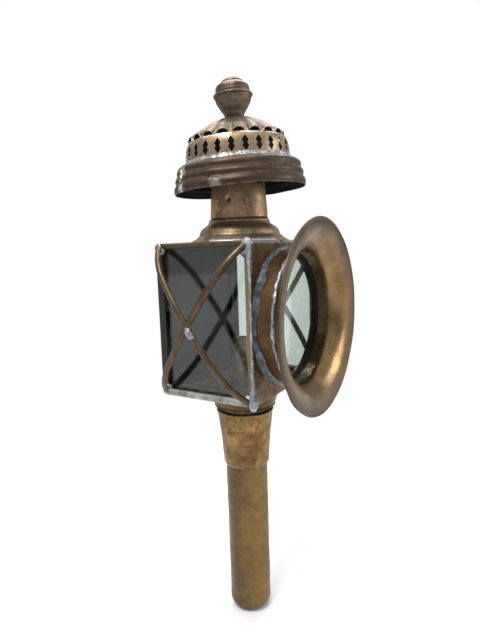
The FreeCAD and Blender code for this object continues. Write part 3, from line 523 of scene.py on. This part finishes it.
def skirt_brass():
    """The cap's rolled skirt: mauve-brown, painted paler on the rolls as painted highlights, with chips and
    smears.
    """
    finish = aged_metal("skirt_brass", light=(0.095, 0.066, 0.041), dark=(0.044, 0.031, 0.02),
                        stain=(0.042, 0.026, 0.019), rub_and_highlight=(0.27, 0.21, 0.14), cloud_scale=40.0,
                        stain_scale=130.0, rough=(0.36, 0.52), rub_and_highlight_radius=0.0016, streak=0.0)
    ragged_patch(finish, (-40.5, 21.5, 217), 4.2, (0.58, 0.60, 0.36), ragged=0.8, scale=330.0, rough=0.6,
                 metal=0.0)
    ragged_patch(finish, (-45.8, -10, 206.5), 3.6, (0.34, 0.31, 0.27), ragged=1.3, scale=520.0, rough=0.6,
                 metal=0.2, strength=0.45)
    ragged_patch(finish, (-42, 20.6, 206.5), 3.4, (0.42, 0.41, 0.38), ragged=1.1, scale=420.0, rough=0.6,
                 metal=0.2)
    soot_inside(finish, CAP_CENTRE)
    return finish.done(0.3)


def gallery_brass():
    """Yellow-brown brass, whitened along its upper edge."""
    finish = aged_metal("gallery_brass", light=(0.47, 0.33, 0.20), dark=(0.28, 0.205, 0.13),
                        stain=(0.12, 0.075, 0.04), rub_and_highlight=(0.60, 0.52, 0.40), cloud_scale=40.0,
                        rough=(0.36, 0.5), rub_and_highlight_radius=0.0007)
    smear_band(finish, height_of(finish, CAP_AXIS), 33.0, 35.5, (0.62, 0.60, 0.56), coverage=0.6, metal=0.6)
    soot_inside(finish, CAP_CENTRE)
    return finish.done(0.3)


def canopy_brass():
    """Olive-brown brass, rubbed pale along the creases."""
    finish = aged_metal("canopy_brass", light=(0.17, 0.118, 0.066), dark=(0.085, 0.06, 0.034),
                        stain=(0.075, 0.05, 0.03), rub_and_highlight=(0.55, 0.5, 0.42), cloud_scale=50.0,
                        rough=(0.36, 0.5), rub_and_highlight_radius=0.0009)
    soot_inside(finish, CAP_CENTRE)
    return finish.done(0.3)


def finial_brass():
    """The finial: dark mauve-brown."""
    return aged_metal("finial_brass", light=(0.20, 0.14, 0.095), dark=(0.09, 0.064, 0.045),
                      stain=(0.055, 0.036, 0.025), rub_and_highlight=(0.30, 0.24, 0.18), cloud_scale=60.0,
                      rough=(0.4, 0.5)).done(0.25)


def inner_brass():
    """Brass inside the lamp, dull with smoke."""
    return aged_metal("inner_brass", light=(0.42, 0.34, 0.18), dark=(0.22, 0.18, 0.10),
                      stain=(0.08, 0.065, 0.036), rub_and_highlight=(0.3, 0.26, 0.15), rough=(0.42, 0.6),
                      cloud_scale=70.0).done(0.3)


def old_solder(name, light, dark):
    """Soft solder, blue-grey and lumpy, pale where it is scraped."""
    finish = aged_metal(name, light=light, dark=dark, stain=(0.075, 0.085, 0.10), pit=(0.03, 0.03, 0.034),
                        rub_and_highlight=(0.7, 0.71, 0.74), cloud_scale=110.0, stain_scale=260.0, stain_level=0.54,
                        pit_scale=700.0, pit_level=0.2, rough=(0.32, 0.5), metal=0.75, streak=0.0,
                        rub_and_highlight_radius=0.0006)
    return finish.done(0.6)


def blackened_sheet():
    """Sheet painted black, chipped to dark brass on its edges."""
    finish = aged_metal("blackened_sheet", light=(0.007, 0.0072, 0.0075), dark=(0.003, 0.003, 0.0035),
                        stain=(0.010, 0.008, 0.006), pit=(0.025, 0.018, 0.011), rub_and_highlight=(0.05, 0.038, 0.024),
                        rough=(0.5, 0.65), metal=0.1, rub_and_highlight_radius=0.0005)
    return finish.done(0.25)


def spring_steel():
    """Bright drawn wire, darkened by oil."""
    return aged_metal("spring_steel", light=(0.42, 0.42, 0.43), dark=(0.2, 0.2, 0.21),
                      stain=(0.10, 0.07, 0.05), rub_and_highlight=(0.6, 0.6, 0.6), rough=(0.25, 0.45)).done(0.15)


def window_glass():
    """Old pale green glass, thinly smeared and faintly rippled."""
    finish = Finish("window_glass")
    tree = finish.tree
    smear = add(tree, "ShaderNodeTexNoise", {"Vector": finish.here, "Scale": 40.0, "Detail": 6.0,
                                             "Roughness": 0.7, "Distortion": 1.2})
    ripple = add(tree, "ShaderNodeTexNoise", {"Vector": finish.here, "Scale": 28.0, "Detail": 2.0})
    finish.colour = blend(tree, ramp(tree, smear.outputs["Fac"], 0.35, 0.7), rgb(0.77, 0.83, 0.805),
                          rgb(0.72, 0.79, 0.765))
    finish.rough = ramp(tree, smear.outputs["Fac"], 0.5, 0.8, 0.01, 0.09)
    finish.metal = 0.0
    finish.height = ripple.outputs["Fac"]
    finish.shader.inputs["Transmission Weight"].default_value = 1.0
    finish.shader.inputs["IOR"].default_value = 1.5
    return finish.done(0.01, distance=0.001)


def paint(node, material):
    """Gives a CAD node that stays its finish."""
    for holder in frame["nodes"][node].material_slots:
        holder.material = material


# ---------------------------------------------------------------- outlines, in millimetres

def bowed(start, end, sag, steps):
    """Points after start on a bow to end. On a line that rises, a positive sag is outwards."""
    across = end[0] - start[0]
    up = end[1] - start[1]
    length = math.hypot(across, up)
    points = []
    for step in range(1, steps + 1):
        share = step / steps
        push = 4 * sag * share * (1 - share) / length
        points.append((start[0] + across * share + up * push, start[1] + up * share - across * push))
    return points


def traced(start, *stretches, steps=8):
    """An outline from start through stretches, each (across, up, sag)."""
    line = [start]
    for across, up, sag in stretches:
        line += bowed(line[-1], (across, up), sag, steps)
    return line


def curved(centre, radii, first, last, steps=12):
    """Part of an ellipse, from one angle to another in degrees."""
    points = []
    for step in range(steps + 1):
        angle = math.radians(first + (last - first) * step / steps)
        points.append((centre[0] + radii[0] * math.cos(angle), centre[1] + radii[1] * math.sin(angle)))
    return points


def outward_normals(line):
    """The outward direction at each point of an outline that is traced upwards."""
    normals = []
    for index in range(len(line)):
        before = line[max(index - 1, 0)]
        after = line[min(index + 1, len(line) - 1)]
        across = after[0] - before[0]
        up = after[1] - before[1]
        length = math.hypot(across, up)
        normals.append((up / length, -across / length))
    return normals


def roll_round(point, normal, wall, bead, onwards):
    """A rolled edge: most of a circle, from the outer face over the end to the inner one."""
    centre = (point[0] - normal[0] * wall / 2, point[1] - normal[1] * wall / 2)
    ahead = (-normal[1] * onwards, normal[0] * onwards)
    lead = math.acos(wall / 2 / bead)
    steps = 14
    points = []
    for step in range(steps + 1):
        angle = -lead + (math.pi + 2 * lead) * step / steps
        points.append((centre[0] + bead * (normal[0] * math.cos(angle) + ahead[0] * math.sin(angle)),
                       centre[1] + bead * (normal[1] * math.cos(angle) + ahead[1] * math.sin(angle))))
    return points


def walled(line, wall, foot_bead=0, top_bead=0):
    """Closes an outline into sheet of a thickness, with either edge rolled over a wire."""
    normals = outward_normals(line)
    outer = list(zip(line, normals))
    inner = [(x - nx * wall, y - ny * wall) for (x, y), (nx, ny) in outer]
    top = roll_round(line[-1], normals[-1], wall, top_bead, 1) if top_bead else []
    foot = roll_round(line[0], normals[0], wall, foot_bead, -1) if foot_bead else []
    foot.reverse()
    outer_points = [point for point, _ in outer]
    if top_bead:
        outer_points = [p for p in outer_points if math.dist(p, line[-1]) > top_bead]
        inner = [p for p in inner if math.dist(p, inner_end(line, normals, wall)) > top_bead]
    if foot_bead:
        outer_points = [p for p in outer_points if math.dist(p, line[0]) > foot_bead]
        inner = [p for p in inner if math.dist(p, line[0]) > foot_bead + wall]
    return outer_points + top + inner[::-1] + foot


def inner_end(line, normals, wall):
    return (line[-1][0] - normals[-1][0] * wall, line[-1][1] - normals[-1][1] * wall)


# ---------------------------------------------------------------- mesh helpers

def spin(points, closed=True, steps=TURN_STEPS):
    """Turns an outline about Z into a mesh."""
    bm = bmesh.new()
    verts = [bm.verts.new((across * MM, 0, up * MM)) for across, up in points]
    follow = verts[1:] + (verts[:1] if closed else [])
    edges = [bm.edges.new(pair) for pair in zip(verts, follow)]
    bmesh.ops.spin(bm, geom=verts + edges, cent=(0, 0, 0), axis=(0, 0, 1), angle=math.tau,
                   steps=steps, use_merge=True, use_duplicate=False)
    bmesh.ops.remove_doubles(bm, verts=bm.verts, dist=0.00002)
    bmesh.ops.recalc_face_normals(bm, faces=bm.faces)
    return bm


def unsettle(bm, amount, size, seed=0):
    """Takes the machine-made look off a mesh: small smooth wanderings, in millimetres."""
    for vert in bm.verts:
        place = vert.co / (size * MM) + Vector((seed, seed * 2, seed * 3))
        vert.co += noise.noise_vector(place) * amount * MM


def dent(bm, centre, radius, push):
    """Presses a round hollow into a mesh. All three are in millimetres."""
    middle = Vector(centre) * MM
    for vert in bm.verts:
        share = (vert.co - middle).length / (radius * MM)
        if share < 1:
            vert.co += Vector(push) * MM * (1 - share ** 2) ** 2


def build(bm, name, node, material, axis=LAMP_AXIS, crease=50):
    """Finishes a mesh as the piece that stands for a CAD node."""
    bmesh.ops.transform(bm, matrix=axis, verts=bm.verts)
    for face in bm.faces:
        face.smooth = True
    for edge in bm.edges:
        edge.smooth = len(edge.link_faces) == 2 and edge.calc_face_angle(0) < math.radians(crease)
    mesh = bpy.data.meshes.new(name)
    bm.to_mesh(mesh)
    bm.free()
    mesh.materials.append(material)
    piece = bpy.data.objects.new(name, mesh)
    bpy.context.scene.collection.objects.link(piece)
    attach(piece, home[node])
    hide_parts(node)
    return piece


SHEET = 0.8
PLATE = 1.0


# ---------------------------------------------------------------- stem, cone and dish

def make_stem():
    low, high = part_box("stem_tube")
    radius = high.x / MM
    foot = low.z / MM
    top = high.z / MM
    tube = traced((radius, foot), (radius, top, 0), steps=40)
    bm = spin(walled(tube, SHEET))
    unsettle(bm, 0.22, 26, seed=1)
    dent(bm, (-14, -6, -62), 9, (0.35, 0.15, 0))
    build(bm, "worn_stem", "stem_tube", frame_finish["stem"])

    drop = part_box("stem_end")[0].z / MM + 0.2
    corner = foot - drop
    end = [(0, drop)] + curved((radius * 0.5, foot), (radius * 0.5, corner), -90, 0, steps=14)
    inner = [(max(x - nx * SHEET, 0), y - ny * SHEET) for (x, y), (nx, ny) in zip(end, outward_normals(end))]
    bm = spin(end + inner[::-1], closed=False)
    unsettle(bm, 0.22, 26, seed=1)
    build(bm, "rounded_stem_end", "stem_end", frame_finish["stem"])


def make_cone():
    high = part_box("stem_cone")[1]
    lip = high.x / MM - 0.5
    height = high.z / MM - 0.9
    line = traced((16.8, 1.0), (17.7, 3.6, 0.3), (18.5, 17.5, 0.0), (lip - 1.6, height - 13.6, 0.0),
                  (lip, height, 0.0), steps=9)
    bm = spin(walled(line, SHEET, top_bead=0.9))
    unsettle(bm, 0.28, 14, seed=4)
    dent(bm, (-18, -8, 30), 7, (0.5, 0.2, 0))
    dent(bm, (-12, -16, 16), 6, (0.3, 0.4, 0))
    build(bm, "spun_cone", "stem_cone", cone_brass())

    ring = [(15.7, 1.4), (15.7, -0.2), (16.25, 0.1), (16.8, 0.9), (16.7, 1.4)]
    bm = spin(ring, steps=180)
    unsettle(bm, 0.5, 4.0, seed=2)
    build(bm, "cone_solder_line", "cone_solder", frame_finish["dark_solder"])


def make_dish():
    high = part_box("base_dish")[1]
    top = high.z / MM
    line = traced((23.0, 48.0), (24.2, 51.5, -0.2), (27.4, 57.2, -0.5), (high.x / MM, top, -0.7))
    bm = spin(walled(line, SHEET, foot_bead=0.9))
    unsettle(bm, 0.3, 16, seed=7)
    build(bm, "base_dish_spun", "base_dish", dish_brass())


# ---------------------------------------------------------------- shoulder and sleeve

def make_shoulder():
    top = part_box("chimney_shoulder")[1].z / MM
    flange = panel_high.z / MM
    line = traced((36.0, flange), (35.4, flange + 0.9, 0.1), (32.2, flange + 2.4, 0.15),
                  (29.6, flange + 4.6, 0.15), (24.2, flange + 11.6, 1.3), (22.1, flange + 14.0, -0.2),
                  (22.2, flange + 14.9, 0.1), (19.7, flange + 16.9, 0.3), (18.5, top, 0))
    bm = spin(walled(line, SHEET))
    unsettle(bm, 0.35, 13, seed=3)
    build(bm, "spun_shoulder", "chimney_shoulder", shoulder_brass())


def make_sleeve():
    low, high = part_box("chimney_sleeve")
    foot = low.z / MM
    line = traced((21.05, foot), (20.9, foot + 1.2, 0), (19.0, high.z / MM, 0), steps=16)
    bm = spin(walled(line, SHEET))
    for vert in bm.verts:
        near = max(0.0, 1 - (vert.co.z / MM - foot) / 5)
        angle = math.atan2(vert.co.y, vert.co.x)
        vert.co.z += near * MM * (0.45 * math.sin(3 * angle + 0.6) + 0.25 * math.sin(7 * angle))
    unsettle(bm, 0.3, 12, seed=9)
    dent(bm, (-20, -3, 199), 3.2, (0.9, 0.2, 0))
    build(bm, "push_on_sleeve", "chimney_sleeve", sleeve_brass())


# ---------------------------------------------------------------- bell

def make_bell():
    reach = (panel_low.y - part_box("bell")[0].y) / MM
    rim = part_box("bell")[1].x / MM - 0.45
    throat = 46.4
    start = 6.5
    flare_start = 12.0
    bead = 0.9
    flare = curved((rim, flare_start), (rim - throat, reach - bead - 0.8 - flare_start), 180, 90, steps=28)
    line = traced((throat, start), (throat, flare_start - 0.5, 0), steps=10) + flare
    bm = spin(walled(line, PLATE, top_bead=bead), steps=160)
    unsettle(bm, 0.35, 22, seed=5)
    dent(bm, (40, 44, 24), 9, (0, 0, -0.8))
    dent(bm, (-20, 58, 26), 8, (0, 0, -0.7))
    build(bm, "spun_bell", "bell", bell_bronze(), axis=BELL_AXIS)

    collar = traced((47.5, 0.0), (47.5, 13.0, 0), steps=10)
    bm = spin(walled(collar, PLATE))
    unsettle(bm, 0.2, 18, seed=6)
    build(bm, "bell_collar_band", "bell_collar", collar_brass(), axis=BELL_AXIS)

    seam = [(47.2, -0.1), (49.5, -0.1), (49.2, 0.7), (48.6, 1.5), (48.1, 2.6), (47.6, 3.4), (47.2, 3.4)]
    bm = spin(seam, steps=256)
    for vert in bm.verts:
        angle = math.atan2(vert.co.y, vert.co.x)
        swell = 1 + 0.22 * math.sin(5 * angle + 1) + 0.15 * math.sin(11 * angle)
        vert.co.z *= swell
    unsettle(bm, 0.6, 3.4, seed=8)
    build(bm, "collar_solder_seam", "collar_solder", frame_finish["dark_solder"], axis=BELL_AXIS)

    seam = [(46.4, 12.4), (47.3, 12.2), (47.75, 12.8), (47.7, 13.7), (47.2, 14.4), (46.4, 14.6)]
    bm = spin(seam, steps=256)
    unsettle(bm, 0.75, 2.6, seed=12)
    build(bm, "bell_solder_seam", "bell_solder", frame_finish["solder"], axis=BELL_AXIS)


# ---------------------------------------------------------------- corner and guard solder

def make_corner_solder(name, side):
    """The lumpy solder down a front corner: a blob at the foot, thin in the middle."""
    low, high = panel_low.z - 2.2 * MM, panel_high.z + 0.6 * MM
    swellings = ((2.3, 0.05, 0.075), (1.1, 0.92, 0.12), (0.5, 0.55, 0.04), (0.5, 0.2, 0.08))
    corner = Vector((side * panel_high.x, panel_low.y, 0))
    bm = bmesh.new()
    bmesh.ops.create_cone(bm, cap_ends=True, segments=24, radius1=1, radius2=1, depth=1)
    upright = [edge for edge in bm.edges if abs(edge.verts[0].co.z - edge.verts[1].co.z) > 0.5]
    bmesh.ops.subdivide_edges(bm, edges=upright, cuts=110, use_grid_fill=True)
    for vert in bm.verts:
        share = vert.co.z + 0.5
        height = low + (high - low) * share
        radius = 0.85
        for swell, place, spread in swellings:
            radius += swell * math.exp(-((share - place) / spread) ** 2)
        radius *= 0.55 + 0.45 * min(1, share * 40, (1 - share) * 40)
        spot = corner + Vector((vert.co.x, vert.co.y, 0)) * radius * MM
        spot.z = height
        spot += noise.noise_vector(spot / (2.6 * MM)) * 0.5 * MM
        inside_x = side * (corner.x - spot.x)
        inside_y = spot.y - corner.y
        if min(inside_x, inside_y) > 0 and height > panel_low.z:
            if inside_x < inside_y:
                spot.x = corner.x - side * 0.3 * MM
            else:
                spot.y = corner.y + 0.3 * MM
        vert.co = spot
    bmesh.ops.recalc_face_normals(bm, faces=bm.faces)
    build(bm, f"corner_solder_run_{name}", f"corner_solder_{name}", frame_finish["corner_solder"])


def lump(bm, centre, along, length, width, height, outward, seed):
    """One wiped lump of solder, drawn out along a bar."""
    made = bmesh.ops.create_icosphere(bm, subdivisions=4, radius=1)["verts"]
    across = outward.cross(along).normalized()
    for vert in made:
        x, y, z = vert.co
        rough = 1 + 0.3 * noise.noise(Vector((x, y, z)) * 1.6 + Vector((seed, 0, 0)))
        spot = along * x * length + across * y * width + outward * z * height
        vert.co = centre + spot * rough * MM


def make_guard_solder(name, side):
    low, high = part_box(f"guard_{name}_long")
    outward = Vector((side, 0, 0))
    wall = side * panel_high.x
    crown = high.x if side > 0 else low.x
    middle = (low.y + high.y) / 2
    bm = bmesh.new()
    falling = Vector((0, -0.56, -0.83))
    lump(bm, Vector((crown - side * 1.2 * MM, middle - 2.5 * MM, window_height - 4 * MM)), falling,
         6.0, 2.2, 1.4, outward, seed=side)
    for seed, (y, z, length, width) in enumerate(((low.y, high.z, 5.4, 4.2), (high.y, high.z, 4.2, 3.2),
                                                  (low.y, low.z, 4.0, 3.0), (high.y, low.z, 4.4, 3.0))):
        centre = Vector((wall, y * 0.94, z + (window_height - z) * 0.05))
        along = Vector((0, -1 if y < 0 else 1, 1 if z > window_height else -1)).normalized()
        lump(bm, centre, along, length, width, 1.9, outward, seed=seed + 3 * side)
    build(bm, f"guard_solder_lumps_{name}", f"guard_solder_{name}", frame_finish["corner_solder"])


# ---------------------------------------------------------------- cap

SKIRT_TOP = 18.8
GALLERY_TOP = 34.1
CANOPY_TOP = 50.6
FINIAL_TOP = 77.8
GALLERY_HOLES = 25
FLUTES = 20
FLUTE_TURN = math.radians(-2.2)
VENT_SHARE = 0.8
VENT_HEIGHT = 3.3


def make_skirt():
    """Three rolls that step outwards, the lowest ending in the plain rim."""
    line = traced((47.1, 0.0), (45.7, 6.6, 1.15), (44.3, 12.2, 1.25), (42.1, 18.0, 1.5),
                  (37.5, SKIRT_TOP, 0.3), steps=11)
    bm = spin(walled(line, SHEET), steps=160)
    unsettle(bm, 0.4, 15, seed=14)
    dent(bm, (-30, 33, 14), 6, (0.8, -0.8, -0.6))
    build(bm, "rolled_skirt", "cap_skirt", skirt_brass(), axis=CAP_AXIS)

    seam = [(37.0, SKIRT_TOP - 0.6), (39.9, SKIRT_TOP - 0.6), (39.6, SKIRT_TOP + 0.4),
            (38.6, SKIRT_TOP + 1.2), (37.9, SKIRT_TOP + 2.5), (37.0, SKIRT_TOP + 2.6)]
    bm = spin(seam, steps=256)
    unsettle(bm, 0.7, 3.6, seed=15)
    build(bm, "gallery_solder_seam", "gallery_solder", frame_finish["bright_solder"], axis=CAP_AXIS)


def gallery_radius(share):
    """The gallery wall leans in as it rises, and turns over at the top."""
    return 37.5 - 1.1 * share - 1.75 * share ** 7


def make_gallery():
    """One panel with its hole, a pair of lozenges joined at a waist, repeated round."""
    half = math.pi / GALLERY_HOLES
    tall = (GALLERY_TOP - SKIRT_TOP) / 2
    tip, shoulder, wide, waist = 5.2, 1.75, 2.4, 1.35
    panel = math.tau * gallery_radius(0.5) / GALLERY_HOLES / 2
    hole = [(0, tip), (-wide, shoulder), (-waist, 0), (-wide, -shoulder),
            (0, -tip), (wide, -shoulder), (waist, 0), (wide, shoulder)]
    edge = [(0, tall), (-panel, tall), (-panel, 0), (-panel, -tall),
            (0, -tall), (panel, -tall), (panel, 0), (panel, tall)]
    bm = bmesh.new()
    loops = []
    for points in (hole, edge):
        verts = [bm.verts.new((x, y, 0)) for x, y in points]
        loops += [bm.edges.new(pair) for pair in zip(verts, verts[1:] + verts[:1])]
    bmesh.ops.bridge_loops(bm, edges=loops)
    bmesh.ops.subdivide_edges(bm, edges=bm.edges[:], cuts=3, use_grid_fill=True)
    for vert in bm.verts:
        share = (vert.co.y + tall) / (2 * tall)
        radius = gallery_radius(share)
        angle = vert.co.x / panel * half
        vert.co = Vector((radius * math.sin(angle), -radius * math.cos(angle),
                          SKIRT_TOP + share * 2 * tall)) * MM
    bmesh.ops.spin(bm, geom=bm.faces[:], cent=(0, 0, 0), axis=(0, 0, 1), use_duplicate=True,
                   angle=math.tau * (GALLERY_HOLES - 1) / GALLERY_HOLES, steps=GALLERY_HOLES - 1)
    bmesh.ops.remove_doubles(bm, verts=bm.verts, dist=0.00004)
    bmesh.ops.recalc_face_normals(bm, faces=bm.faces)
    unsettle(bm, 0.35, 9, seed=16)
    turned = CAP_AXIS @ Matrix.Rotation(half, 4, "Z")
    piece = build(bm, "pierced_gallery", "gallery", gallery_brass(), axis=turned)
    thicken(piece, SHEET)


def thicken(piece, wall):
    """Gives a single-skinned mesh its sheet thickness and softened edges."""
    solid = piece.modifiers.new("wall", "SOLIDIFY")
    solid.thickness = wall * MM
    solid.offset = -1
    soften = piece.modifiers.new("soft_edges", "BEVEL")
    soften.width = 0.15 * MM
    soften.segments = 2
    soften.limit_method = "ANGLE"
    soften.angle_limit = math.radians(50)


def make_canopy():
    """One gore, arched across and open at its foot as a half-moon vent, repeated round."""
    half = math.pi / FLUTES
    rim, neck = 34.6, 6.2
    bm = bmesh.new()
    bmesh.ops.create_grid(bm, x_segments=20, y_segments=22, size=1)
    for vert in bm.verts:
        inward = (vert.co.y + 1) / 2
        radius = rim + (neck - rim) * inward
        height = GALLERY_TOP + (CANOPY_TOP - GALLERY_TOP) * (inward + 0.17 * math.sin(math.pi * inward))
        arch = max(0.0, 1 - (abs(vert.co.x) / VENT_SHARE) ** 2) ** 0.5
        crown = 1 - abs(vert.co.x) ** 1.5
        lift = VENT_HEIGHT * (1 - inward) ** 5 * arch + 0.7 * math.sin(math.pi * inward ** 0.6) * crown
        angle = vert.co.x * half
        vert.co = Vector((radius * math.sin(angle), -radius * math.cos(angle), height + lift)) * MM
    bmesh.ops.spin(bm, geom=bm.faces[:], cent=(0, 0, 0), axis=(0, 0, 1), use_duplicate=True,
                   angle=math.tau * (FLUTES - 1) / FLUTES, steps=FLUTES - 1)
    bmesh.ops.remove_doubles(bm, verts=bm.verts, dist=0.00004)
    bmesh.ops.recalc_face_normals(bm, faces=bm.faces)
    unsettle(bm, 0.4, 8, seed=17)
    turned = CAP_AXIS @ Matrix.Rotation(FLUTE_TURN, 4, "Z")
    piece = build(bm, "fluted_canopy", "canopy", canopy_brass(), axis=turned, crease=70)
    thicken(piece, 0.6)


def make_finial():
    metal = finial_brass()
    foot = CANOPY_TOP
    cup = traced((6.2, foot), (8.0, foot + 3.9, 0.05), (10.9, foot + 8.3, 0.1), (12.6, foot + 12.3, 0.3),
                 (13.0, foot + 14.0, 0.1))
    bm = spin(walled(cup, SHEET))
    unsettle(bm, 0.2, 9, seed=18)
    build(bm, "finial_cup_spun", "finial_cup", metal, axis=CAP_AXIS)

    dome = traced((12.6, foot + 14.9), (12.1, foot + 16.4, -0.1), (12.0, foot + 18.4, 0.15),
                  (9.6, foot + 22.6, 0.9), (7.8, foot + 23.6, 0.1), (6.9, foot + 25.0, 0.4),
                  (4.0, FINIAL_TOP - 0.3, 0.3), (0.0, FINIAL_TOP - 0.25, 0.05), steps=7)
    normals = outward_normals(dome)
    inner = [(max(x - nx * SHEET, 0), y - ny * SHEET) for (x, y), (nx, ny) in zip(dome, normals)]
    inner = [point for point in inner if point[1] > foot + 15.4]
    bead = curved((13.0, foot + 14.9), (0.95, 0.95), 130, -130, steps=16)
    bm = spin(dome[::-1] + bead + inner, closed=False)
    unsettle(bm, 0.25, 8, seed=19)
    build(bm, "finial_dome_spun", "finial_dome", metal, axis=CAP_AXIS)


# ---------------------------------------------------------------- CAD nodes that stay

def paint_nodes():
    brass_inside = inner_brass()
    black = blackened_sheet()
    panel = panel_bronze()
    bars = bar_brass()
    glass = window_glass()
    rail = rail_brass()
    sill = sill_brass()
    finishes = {
        panel: ["front_panel"],
        brass_inside: ["base_socket", "candle_tube", "upper_tube_guide", "lower_tube_guide", "spring_seat",
                       "candle_follower", "candle_nozzle", "floor_plate"],
        black: ["back_frame", "door_panel", "door_catch", "top_plate", "cap_legs", "wind_band",
                "front_glass_ring", "hinge_leaf_door", "glass_tabs_left", "glass_tabs_right"],
        glass: ["glass_left", "glass_right", "front_glass"],
        bars: [f"guard_{name}_{part}" for name in ("left", "right") for part in ("long", "upper", "lower")],
        rail: ["top_rail_left", "top_rail_right", "door_knob", "hinge_leaf_body", "hinge_pin"],
        sill: ["bottom_rail_left", "bottom_rail_right"],
        spring_steel(): ["candle_spring"],
    }
    for material, nodes in finishes.items():
        for node in nodes:
            paint(node, material)


# ---------------------------------------------------------------- studio

CAMERA_TURN = -58.57
CAMERA_RISE = 8.156
CAMERA_ROLL = -1.862
CAMERA_DISTANCE = 0.36187
CAMERA_LEFT = 0.001656
CAMERA_DOWN = 0.004787
LENS = 27
SENSOR = 36
FLOOR_RADIUS = 6


def make_floor():
    """A flat white floor. Its far part glows as bright as the room's wall, so no horizon shows."""
    bm = bmesh.new()
    bmesh.ops.create_circle(bm, cap_ends=True, segments=96, radius=FLOOR_RADIUS)
    bmesh.ops.translate(bm, verts=bm.verts, vec=(0, 0, floor_height))
    mesh = bpy.data.meshes.new("floor")
    bm.to_mesh(mesh)
    bm.free()
    floor = bpy.data.objects.new("floor", mesh)
    bpy.context.scene.collection.objects.link(floor)
    sheet = bpy.data.materials.new("floor_white")
    sheet.use_nodes = True
    tree = sheet.node_tree
    place = add(tree, "ShaderNodeTexCoord").outputs["Object"]
    away = add(tree, "ShaderNodeVectorMath", {0: place, 1: (0.0, 0.0, floor_height)}, operation="DISTANCE")
    far = ramp(tree, away.outputs["Value"], 0.1, 0.6)
    shader = tree.nodes["Principled BSDF"]
    shader.inputs["Roughness"].default_value = 0.9
    shader.inputs["Emission Color"].default_value = rgb(1.0, 1.0, 1.0)
    tree.links.new(far, shader.inputs["Emission Strength"])
    tree.links.new(blend(tree, far, rgb(0.74, 0.745, 0.76), rgb(0, 0, 0)), shader.inputs["Base Color"])
    shader.inputs["Specular IOR Level"].default_value = 0
    mesh.materials.append(sheet)


def camera_frame():
    """The camera's turn about the lamp, its rise and its roll, as three directions."""
    turn, rise, roll = (math.radians(angle) for angle in (CAMERA_TURN, CAMERA_RISE, CAMERA_ROLL))
    back = Vector((math.sin(turn) * math.cos(rise), -math.cos(turn) * math.cos(rise), math.sin(rise)))
    level = (-back).cross(Vector((0, 0, 1))).normalized()
    upright = level.cross(-back)
    right = math.cos(roll) * level + math.sin(roll) * upright
    up = -math.sin(roll) * level + math.cos(roll) * upright
    return right, up, back


def make_camera():
    right, up, back = camera_frame()
    camera = bpy.data.cameras.new("view")
    camera.lens = LENS
    camera.sensor_width = SENSOR
    camera.clip_start = 0.01
    view = bpy.data.objects.new("view", camera)
    bpy.context.scene.collection.objects.link(view)
    target = Vector((0, 0, window_height))
    place = target + back * CAMERA_DISTANCE - right * CAMERA_LEFT - up * CAMERA_DOWN
    turned = Matrix((right, up, back)).transposed().to_4x4()
    view.matrix_world = Matrix.Translation(place) @ turned
    bpy.context.scene.camera = view


def soft_light(name, direction, distance, size, power, colour=(1, 1, 1)):
    """A square soft box that faces the lamp."""
    data = bpy.data.lights.new(name, "AREA")
    data.shape = "SQUARE"
    data.size = size
    data.energy = power
    data.color = colour
    light = bpy.data.objects.new(name, data)
    bpy.context.scene.collection.objects.link(light)
    direction = direction.normalized()
    light.matrix_world = (Matrix.Translation(Vector((0, 0, window_height)) + direction * distance)
                          @ direction.to_track_quat("Z", "Y").to_matrix().to_4x4())


def make_studio():
    """Soft boxes in a pale room. The view and the windows see white behind the lamp."""
    right, up, back = camera_frame()
    soft_light("key", back * 0.6 - right * 0.35 + up * 0.9, 1.1, 0.45, 12, (1, 0.98, 0.95))
    soft_light("top", up * 1.0 - back * 0.35, 1.2, 0.9, 13)
    soft_light("side", right * 1.0 + back * 0.1 + up * 0.3, 1.3, 0.6, 6, (0.97, 0.99, 1))
    world = bpy.data.worlds.new("studio")
    world.use_nodes = True
    tree = world.node_tree
    path = add(tree, "ShaderNodeLightPath")
    seen = calc(tree, "MAXIMUM", path.outputs["Is Camera Ray"], path.outputs["Is Transmission Ray"])
    place = add(tree, "ShaderNodeTexCoord")
    height = add(tree, "ShaderNodeSeparateXYZ", {0: place.outputs["Generated"]}).outputs["Z"]
    room = blend(tree, ramp(tree, height, -0.1, 0.8), rgb(0.33, 0.335, 0.34), rgb(0.78, 0.785, 0.8))
    colour = blend(tree, seen, room, rgb(1.0, 1.0, 1.0))
    tree.links.new(colour, tree.nodes["Background"].inputs["Color"])
    bpy.context.scene.world = world
    bpy.context.scene.view_settings.view_transform = "Standard"


frame_finish = {
    "stem": stem_brass(),
    "solder": old_solder("old_solder", (0.42, 0.44, 0.48), (0.20, 0.22, 0.26)),
    "dark_solder": old_solder("dark_solder", (0.16, 0.175, 0.20), (0.055, 0.062, 0.08)),
    "corner_solder": old_solder("corner_solder", (0.56, 0.585, 0.62), (0.31, 0.33, 0.36)),
    "bright_solder": old_solder("bright_solder", (0.47, 0.465, 0.45), (0.25, 0.247, 0.24)),
}

make_camera()
make_studio()
make_floor()
make_stem()
make_cone()
make_dish()
make_shoulder()
make_sleeve()
make_bell()
for side_name, side_sign in (("left", -1), ("right", 1)):
    make_corner_solder(side_name, side_sign)
    make_guard_solder(side_name, side_sign)
make_skirt()
make_gallery()
make_canopy()
make_finial()
paint_nodes()
